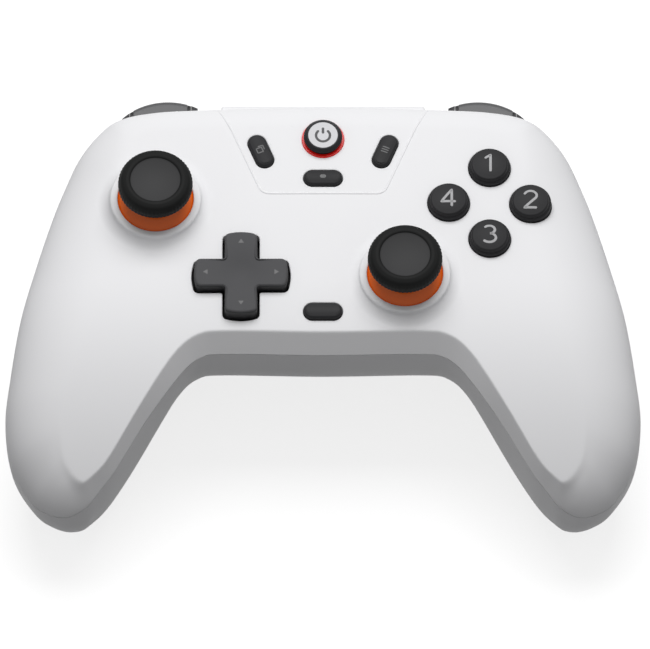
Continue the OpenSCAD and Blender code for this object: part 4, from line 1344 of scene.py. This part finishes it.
class Marks:
    """Plain marks as flat strokes laid on a surface."""

    @staticmethod
    def strokes(symbol: Symbol) -> list[Array]:
        """Middle lines of a mark, about its own middle, five units high.

        Args:
            symbol: The mark.

        Returns:
            Paths in the plan.
        """
        line = np.array
        table: dict[Symbol, list[Array]] = {
            Symbol.NONE: [],
            Symbol.ONE: [line([(-1.15, 1.35), (0.25, 2.35), (0.25, -2.35)])],
            Symbol.TWO: [np.concatenate([arc((0, 1.05), (1.5, 1.3), 170, -38),
                                         line([(-1.5, -2.3), (1.6, -2.3)])])],
            Symbol.THREE: [np.concatenate([arc((-0.1, 1.15), (1.35, 1.15), 150, -80),
                                           arc((-0.1, -1.1), (1.6, 1.2), 80, -152)])],
            Symbol.FOUR: [line([(0.75, -2.35), (0.75, 2.35), (-1.75, -1.0), (1.8, -1.0)])],
            Symbol.LINES: [line([(-0.9, y), (0.9, y)]) for y in (-0.65, 0.0, 0.65)],
            Symbol.SQUARES: [line([(-1.0, -0.75), (0.35, -0.75), (0.35, 0.55), (-1.0, 0.55), (-1.0, -0.75)]),
                             line([(-0.45, 0.95), (0.85, 0.95), (0.85, -0.3)])],
            Symbol.DOT: [line([(-0.75, 0), (0.75, 0)])],
            Symbol.POWER: [arc((0, -0.15), (1.7, 1.7), 125, 415, 60), line([(0, 0.35), (0, 2.1)])]}
        return table[symbol]

    @staticmethod
    def lay(shape: Shape, symbol: Symbol, centre: Sequence[float], height: Height, width: float, finish: int,
            turn: float = 0.0, lift: float = 0.03) -> None:
        """Adds a mark to a shape: each stroke is a ribbon with round ends, its height from a function.

        Args:
            shape: Shape that is added to.
            symbol: The mark.
            centre: Its place in the plan.
            height: Height of the surface below.
            width: Width of a stroke.
            finish: Index of the finish.
            turn: Angle of the mark in degrees.
            lift: Distance above the surface.
        """
        c, s = math.cos(math.radians(turn)), math.sin(math.radians(turn))
        for stroke in Marks.strokes(symbol):
            path = resample(stroke @ np.array([[c, s], [-s, c]]), 120, closed=False)
            step = np.linalg.norm(np.diff(path, axis=0), axis=1)
            run = np.concatenate([[0], np.cumsum(step)])
            end = np.minimum(run, run[-1] - run) / (width / 2)
            half = width / 2 * np.sqrt(np.clip(1 - np.clip(1 - end, 0, 1) ** 2, 1e-4, 1))
            side = outward(path, closed=False)
            flat = path[:, None] + (half[:, None] * np.linspace(-1, 1, 5)[None])[..., None] * side[:, None]
            flat = flat + np.asarray(centre, float)
            z = height(flat[..., 0], flat[..., 1]) + lift
            shape.sheet(np.concatenate([flat, z[..., None]], axis=-1), finish=finish)


@dataclass
class FaceButtons(Part):
    """Four round buttons with a stepped skirt, a domed top and a plain numeral each."""

    radius: float = FACE_BUTTON_R

    def build(self) -> None:
        """Makes the buttons: a profile turned about each axis, and the numeral's strokes on its dome."""
        for key, symbol in FACE_BUTTONS.items():
            node = "face_button_" + key
            at = self.place.middle(node)
            low, high = self.place.height(node)
            r, crown = self.radius, 0.35
            brim = high - crown - 0.12
            corners = [(0, low), (2.4, low), (2.4, high - 7.7), (r + 0.9, high - 7.7), (r + 0.9, high - 6.5),
                       (r, high - 6.5), (r, high - 1.75), (r - 0.42, high - 1.55), (r - 0.62, brim),
                       (0, brim)]
            radii = [0.1, 0.1, 0.1, 0.1, 0.1, 0.1, 0.18, 0.12, 0.55, 0.1]
            skirt = rounded(corners, radii, closed=False, steps=6)[:-1]
            edge = skirt[-1]
            s = np.linspace(1, 0, 18)
            dome = np.stack([edge[0] * s, edge[1] + (high - edge[1]) * (1 - s**2)], axis=-1)

            def top(x: Array, y: Array, at: tuple = at, edge: Array = edge, high: float = high) -> Array:
                """Height of the dome: a paraboloid about the button's axis."""
                q = ((x - at[0]) ** 2 + (y - at[1]) ** 2) / edge[0] ** 2
                return edge[1] + (high - edge[1]) * (1 - q)

            made = Shape().sheet(turned(np.concatenate([skirt, dome[1:]]), at, 120), wrap=True)
            Marks.lay(made, symbol, at, top, 0.62, 1)
            self.seat(made, Seat(node + "_skin", node, (node,), "control_dark"), [Look.BUTTON, Look.PRINT])


@dataclass
class PillButtons(Part):
    """Four slot-shaped buttons with a rounded, slightly bowed top."""

    def build(self) -> None:
        """Makes the buttons: a profile carried round each outline, a bowed top and a faint mark."""
        for node, (turn, symbol) in PILLS.items():
            at = self.place.middle(node)
            low, high = self.place.height(node)
            zf = high - 1.1
            a = np.radians(np.linspace(0, 90, 8))
            outline = pill(at, PILL_RUN, PILL_R, turn, 128)
            offset = np.concatenate([[0.8, 0.8, 0, 0], -0.75 * (1 - np.cos(a))])
            z = np.concatenate([[zf - 3.6, zf - 2.6, zf - 2.6, zf + 0.15], zf + 0.15 + 0.75 * np.sin(a)])
            rim = outline - 0.75 * outward(outline)

            def top(x: Array, y: Array, at: tuple = at, zf: float = zf, turn: float = turn) -> Array:
                """Height of the top: a low bow across the button's long axis."""
                t = math.radians(turn)
                across = -(x - at[0]) * math.sin(t) + (y - at[1]) * math.cos(t)
                return zf + 0.9 + 0.2 * (1 - np.clip(np.abs(across) / (PILL_R - 0.75), 0, 1) ** 2)

            made = Shape().sheet(carried(outline, offset, z), wrap=True)
            made.sheet(filled(rim, top), wrap=True)
            made.sheet(turned(np.array([(1.4, zf - 3.6), (1.4, low), (0, low)]), at, 48), wrap=True)
            wide = 1.0 if symbol is Symbol.DOT else 0.28
            tilt = turn - 90 if node in ("menu_button", "view_button") else 0
            Marks.lay(made, symbol, at, top, wide, 1, tilt)
            self.seat(made, Seat(node + "_skin", node, (node,), "control_dark"), [Look.BUTTON, Look.FAINT])


@dataclass
class HomeButton(Part):
    """Round home button: dark cap, pale plate with a power mark, and a lit red ring."""

    def build(self) -> None:
        """Makes cap, plate and ring, each a profile turned about the button's axis."""
        at = self.place.middle("home_button")
        low, _ = self.place.height("home_button")
        zf = float(self.casing.face(np.array([at[0]]), np.array([at[1]]))[0])
        skirt, rim, plate_z, r, inner = zf + 1.2, zf + 2.2, zf + 1.95, 3.65, 4.35
        stem_r, collar_r, cap_r = 4.05, 4.95, 4.72
        stem = np.array([(0, low), (2, low), (2, zf - 4.3), (collar_r, zf - 4.3), (collar_r, zf - 3.3),
                         (stem_r, zf - 3.3), (stem_r, skirt)])
        corners = [(stem_r, skirt), (cap_r, skirt), (cap_r, skirt + 0.32), (r + 0.3, rim), (r, rim),
                   (r, plate_z), (0, plate_z)]
        edge = rounded(corners, [0.1, 0.12, 0.25, 0.2, 0.08, 0.04, 0.1], closed=False, steps=6)
        cap_shape = Shape().sheet(turned(np.concatenate([stem, edge[1:]]), at, 128), wrap=True)
        cap_seat = Seat("home_button_skin", "home_button", ("home_button",), "control_dark")
        self.seat(cap_shape, cap_seat, [Look.BUTTON])
        plate = rounded([(r - 0.03, plate_z + 0.02), (r - 0.03, plate_z + 0.25), (0, plate_z + 0.3)],
                        [0.05, 0.08, 0.1], closed=False)
        plate_shape = Shape().sheet(turned(plate, at, 128), wrap=True)

        def top(x: Array, y: Array) -> Array:
            """Height of the plate's top: a shallow cone that passes for flat."""
            return plate_z + 0.3 - 0.05 / (r - 0.03) * np.hypot(x - at[0], y - at[1])

        Marks.lay(plate_shape, Symbol.POWER, at, top, 0.62, 1)
        self.seat(plate_shape, Seat("home_disc_skin", "home_button", ("home_disc",), "disc_grey"),
                  [Look.PLATE, Look.DARK_PRINT])
        out, seat = HOME_RING_R, zf - 2.25
        corners = [(inner, seat - 0.7), (out + 0.6, seat - 0.7), (out + 0.6, seat), (out, seat),
                   (out, zf + 0.3), (inner, zf + 0.3), (inner, seat - 0.7)]
        ring = rounded(corners, [0.1, 0.1, 0.1, 0.1, 0.15, 0.1, 0.1], closed=False, steps=6)
        self.seat(Shape().sheet(turned(ring, at, 128), wrap=True),
                  Seat("home_light_ring_skin", "case", ("home_light_ring",), "ring_red"), [Look.RING])


@dataclass
class DirectionPad(Part):
    """Direction pad: a cross with sloped, rounded edges and a dished middle, over its flange and feet; its
    walls and lower bevel are painted shade in black.
    """

    def build(self) -> None:
        """Makes the pad: a profile carried round the cross, a dished top, and four small arrowheads."""
        at = np.array(self.place.middle("dpad"))
        low, high = self.place.height("dpad")
        a = np.radians(np.linspace(0, 90, 8))
        outline = cross_outline(0.0)
        inset, fall = 0.68, 0.9
        offset = np.concatenate([[0, 0], -inset + inset * np.cos(a)])
        z = np.concatenate([[high - 7.1, high - fall - 0.25], high - fall + fall * np.sin(a)])
        rim = outline - inset * outward(outline)

        def top(x: Array, y: Array) -> Array:
            """Height of the top: a soft dish about the middle of the pad."""
            r2 = (x - at[0]) ** 2 + (y - at[1]) ** 2
            return high - 1.15 * np.exp(-r2 / (2 * 3.6**2))

        body = carried(outline + at, offset, z)
        last = body[-1]
        body[-1, :, 2] = top(last[:, 0], last[:, 1])
        # The wall and lower bevel rows take the black finish: painted shade on the pad's sides.
        made = Shape().sheet(body[:6], wrap=True, finish=2).sheet(body[5:], wrap=True)
        made.sheet(filled(rim + at, top, 30), wrap=True)
        pivot = high - 5.7
        flange = np.array([(3.8, pivot - 1.3), (13.3, pivot - 1.3), (13.3, pivot - 2.6), (3.8, pivot - 2.6),
                           (3.8, pivot - 1.3)])
        made.sheet(turned(flange, at, 96), wrap=True, flip=True)
        for k in range(4):
            c, s = round(math.cos(k * math.pi / 2)), round(math.sin(k * math.pi / 2))
            foot = np.array([(1.6, pivot - 2.6), (1.6, low), (0, low)])
            made.sheet(turned(foot, at + 8.2 * np.array([c, s]), 32), wrap=True)
            tip, base = 9.3, 8.15
            tri = rounded([(base, -0.72), (tip, 0), (base, 0.72)], [0.08] * 3, steps=4)
            tri = resample(tri, 60) @ np.array([[c, s], [-s, c]]) + at
            arrow = filled(tri, lambda x, y: top(x, y) + 0.03, 4)
            made.sheet(arrow, wrap=True, finish=1)
        self.seat(made, Seat("dpad_skin", "dpad", ("dpad",), "control_dark"),
                  [Look.PAD, Look.FAINT, Look.BLACK_AND_PAINTED_SHADE])


class Innards:
    """Finishes of the CAD nodes that are shown as they are."""

    FINISHES: dict[str, Finish] = {
        "shoulder_bracket": Look.BRACKET, "bumper_pin": Look.STEEL, "bumper_switches": Look.STEEL,
        "trigger_pin": Look.STEEL, "trigger_spring": Look.STEEL, "stick_shaft": Look.BLACK_AND_PAINTED_SHADE,
        "stick_rocker": Look.GIMBAL, "stick_bail": Look.GIMBAL, "stick_housing": Look.STEEL,
        "dpad_pivot": Look.BLACK_AND_PAINTED_SHADE, "dpad_post": Look.BLACK_AND_PAINTED_SHADE, "dpad_mat": Look.MAT, "face_button_mat": Look.MAT,
        "push_switches": Look.STEEL, "main_board": Look.BOARD, "usb_port": Look.STEEL, "battery": Look.CELL,
        "motor_weight": Look.STEEL, "motor": Look.STEEL, "case_screws": Look.STEEL,
        "board_screws": Look.STEEL}

    def dress(self) -> None:
        """Gives every shown CAD node its finish."""
        for name, node in frame["nodes"].items():
            plain = name.removesuffix("_left").removesuffix("_right")
            if plain in self.FINISHES and not node.hide_render:
                node.data.materials.clear()
                node.data.materials.append(self.FINISHES[plain].material())
                node.data.shade_smooth()
                node.data.set_sharp_from_angle(angle=SMOOTH_ANGLE)


@dataclass
class Studio:
    """Floor, lights, world and camera."""

    aim: tuple[float, float, float] = (0.00049, -0.0147, 0.045)
    elevation: float = 60.0
    distance: float = 6.6
    lens: float = 1500.0

    def build(self) -> None:
        """Makes the studio."""
        self.floor()
        self.lights()
        self.camera()

    def floor(self) -> None:
        """Pale floor, which gives little light back to the object."""
        edge = np.array([(-2.5, -2.5, 0), (2.5, -2.5, 0), (2.5, 2.5, 0), (-2.5, 2.5, 0)])
        mesh = bpy.data.meshes.new("floor")
        mesh.from_pydata(edge.tolist(), [], [(0, 1, 2, 3)])
        made = bpy.data.objects.new("floor", mesh)
        bpy.context.scene.collection.objects.link(made)
        material = bpy.data.materials.new("pale_floor")
        material.use_nodes = True
        nodes, links = material.node_tree.nodes, material.node_tree.links
        nodes.remove(nodes["Principled BSDF"])
        path = nodes.new("ShaderNodeLightPath")
        seen = nodes.new("ShaderNodeMath")
        seen.operation = "MAXIMUM"
        links.new(path.outputs["Is Camera Ray"], seen.inputs[0])
        links.new(path.outputs["Is Glossy Ray"], seen.inputs[1])
        through = nodes.new("ShaderNodeMath")
        through.operation = "MAXIMUM"
        links.new(seen.outputs[0], through.inputs[0])
        links.new(path.outputs["Is Transmission Ray"], through.inputs[1])
        dim, pale, glow, both = (nodes.new(k) for k in ("ShaderNodeBsdfDiffuse", "ShaderNodeBsdfDiffuse",
                                                        "ShaderNodeEmission", "ShaderNodeAddShader"))
        dim.inputs["Color"].default_value = (0.12, 0.12, 0.12, 1)
        pale.inputs["Color"].default_value = (0.4, 0.4, 0.4, 1)
        glow.inputs["Strength"].default_value = 0.78
        mix = nodes.new("ShaderNodeMixShader")
        links.new(pale.outputs[0], both.inputs[0])
        links.new(glow.outputs[0], both.inputs[1])
        links.new(through.outputs[0], mix.inputs[0])
        links.new(dim.outputs[0], mix.inputs[1])
        links.new(both.outputs[0], mix.inputs[2])
        links.new(mix.outputs[0], nodes["Material Output"].inputs["Surface"])
        mesh.materials.append(material)

    def lights(self) -> None:
        """Even world light and one wide soft light above and a little behind."""
        world = bpy.data.worlds.new("studio")
        world.use_nodes = True
        world.node_tree.nodes["Background"].inputs["Color"].default_value = (1, 1, 1, 1)
        world.node_tree.nodes["Background"].inputs["Strength"].default_value = 0.3
        bpy.context.scene.world = world
        self.area("key", (0.0, 0.34, 0.68), (0.0, 0.0, 0.03), (0.6, 0.45), 4.15)

    @staticmethod
    def area(name: str, place: Sequence[float], aim: Sequence[float], size: Sequence[float],
             power: float) -> None:
        """Adds an area light.

        Args:
            name: Name of the light.
            place: Its place in metres.
            aim: Where it points.
            size: Its two sides in metres.
            power: Its power in watts.
        """
        data = bpy.data.lights.new(name, "AREA")
        data.shape, data.size, data.size_y, data.energy = "RECTANGLE", size[0], size[1], power
        light = bpy.data.objects.new(name, data)
        light.location = place
        light.rotation_mode = "QUATERNION"
        light.rotation_quaternion = (Vector(aim) - Vector(place)).to_track_quat("-Z", "Y")
        bpy.context.scene.collection.objects.link(light)

    def camera(self) -> None:
        """Camera at the photo's angle, far off with a long lens."""
        data = bpy.data.cameras.new("camera")
        data.lens, data.sensor_width, data.clip_start, data.clip_end = self.lens, 36.0, 0.1, 40.0
        made = bpy.data.objects.new("camera", data)
        bpy.context.scene.collection.objects.link(made)
        e = math.radians(self.elevation)
        back = Vector((0, -math.cos(e), math.sin(e)))
        made.location = Vector(self.aim) + back * self.distance
        made.rotation_mode = "QUATERNION"
        made.rotation_quaternion = (-back).to_track_quat("-Z", "Y")
        bpy.context.scene.camera = made
        bpy.context.scene.view_settings.view_transform = "Standard"


@dataclass
class Controller:
    """The whole controller."""

    casing: Casing = field(default_factory=Casing)
    place: Place = field(default_factory=Place.read)

    def parts(self) -> list[Part]:
        """Sub-assemblies in the order in which they are built.

        Returns:
            The sub-assemblies.
        """
        c, p = self.casing, self.place
        return [FrontShell(c, p), BackShell(c, p), Bridge(c, p), FaceButtons(c, p), PillButtons(c, p),
                HomeButton(c, p), DirectionPad(c, p), *(Thumbstick(c, p, side=s) for s in Side),
                *(Shoulder(c, p, side=s) for s in Side)]

    def build(self) -> None:
        """Builds and dresses everything."""
        for part in self.parts():
            part.build()
        Innards().dress()


def main() -> None:
    """Builds the controller and its studio."""
    logging.basicConfig(level=logging.INFO)
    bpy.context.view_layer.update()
    Controller().build()
    Studio().build()


if __name__ == "__main__":
    main()
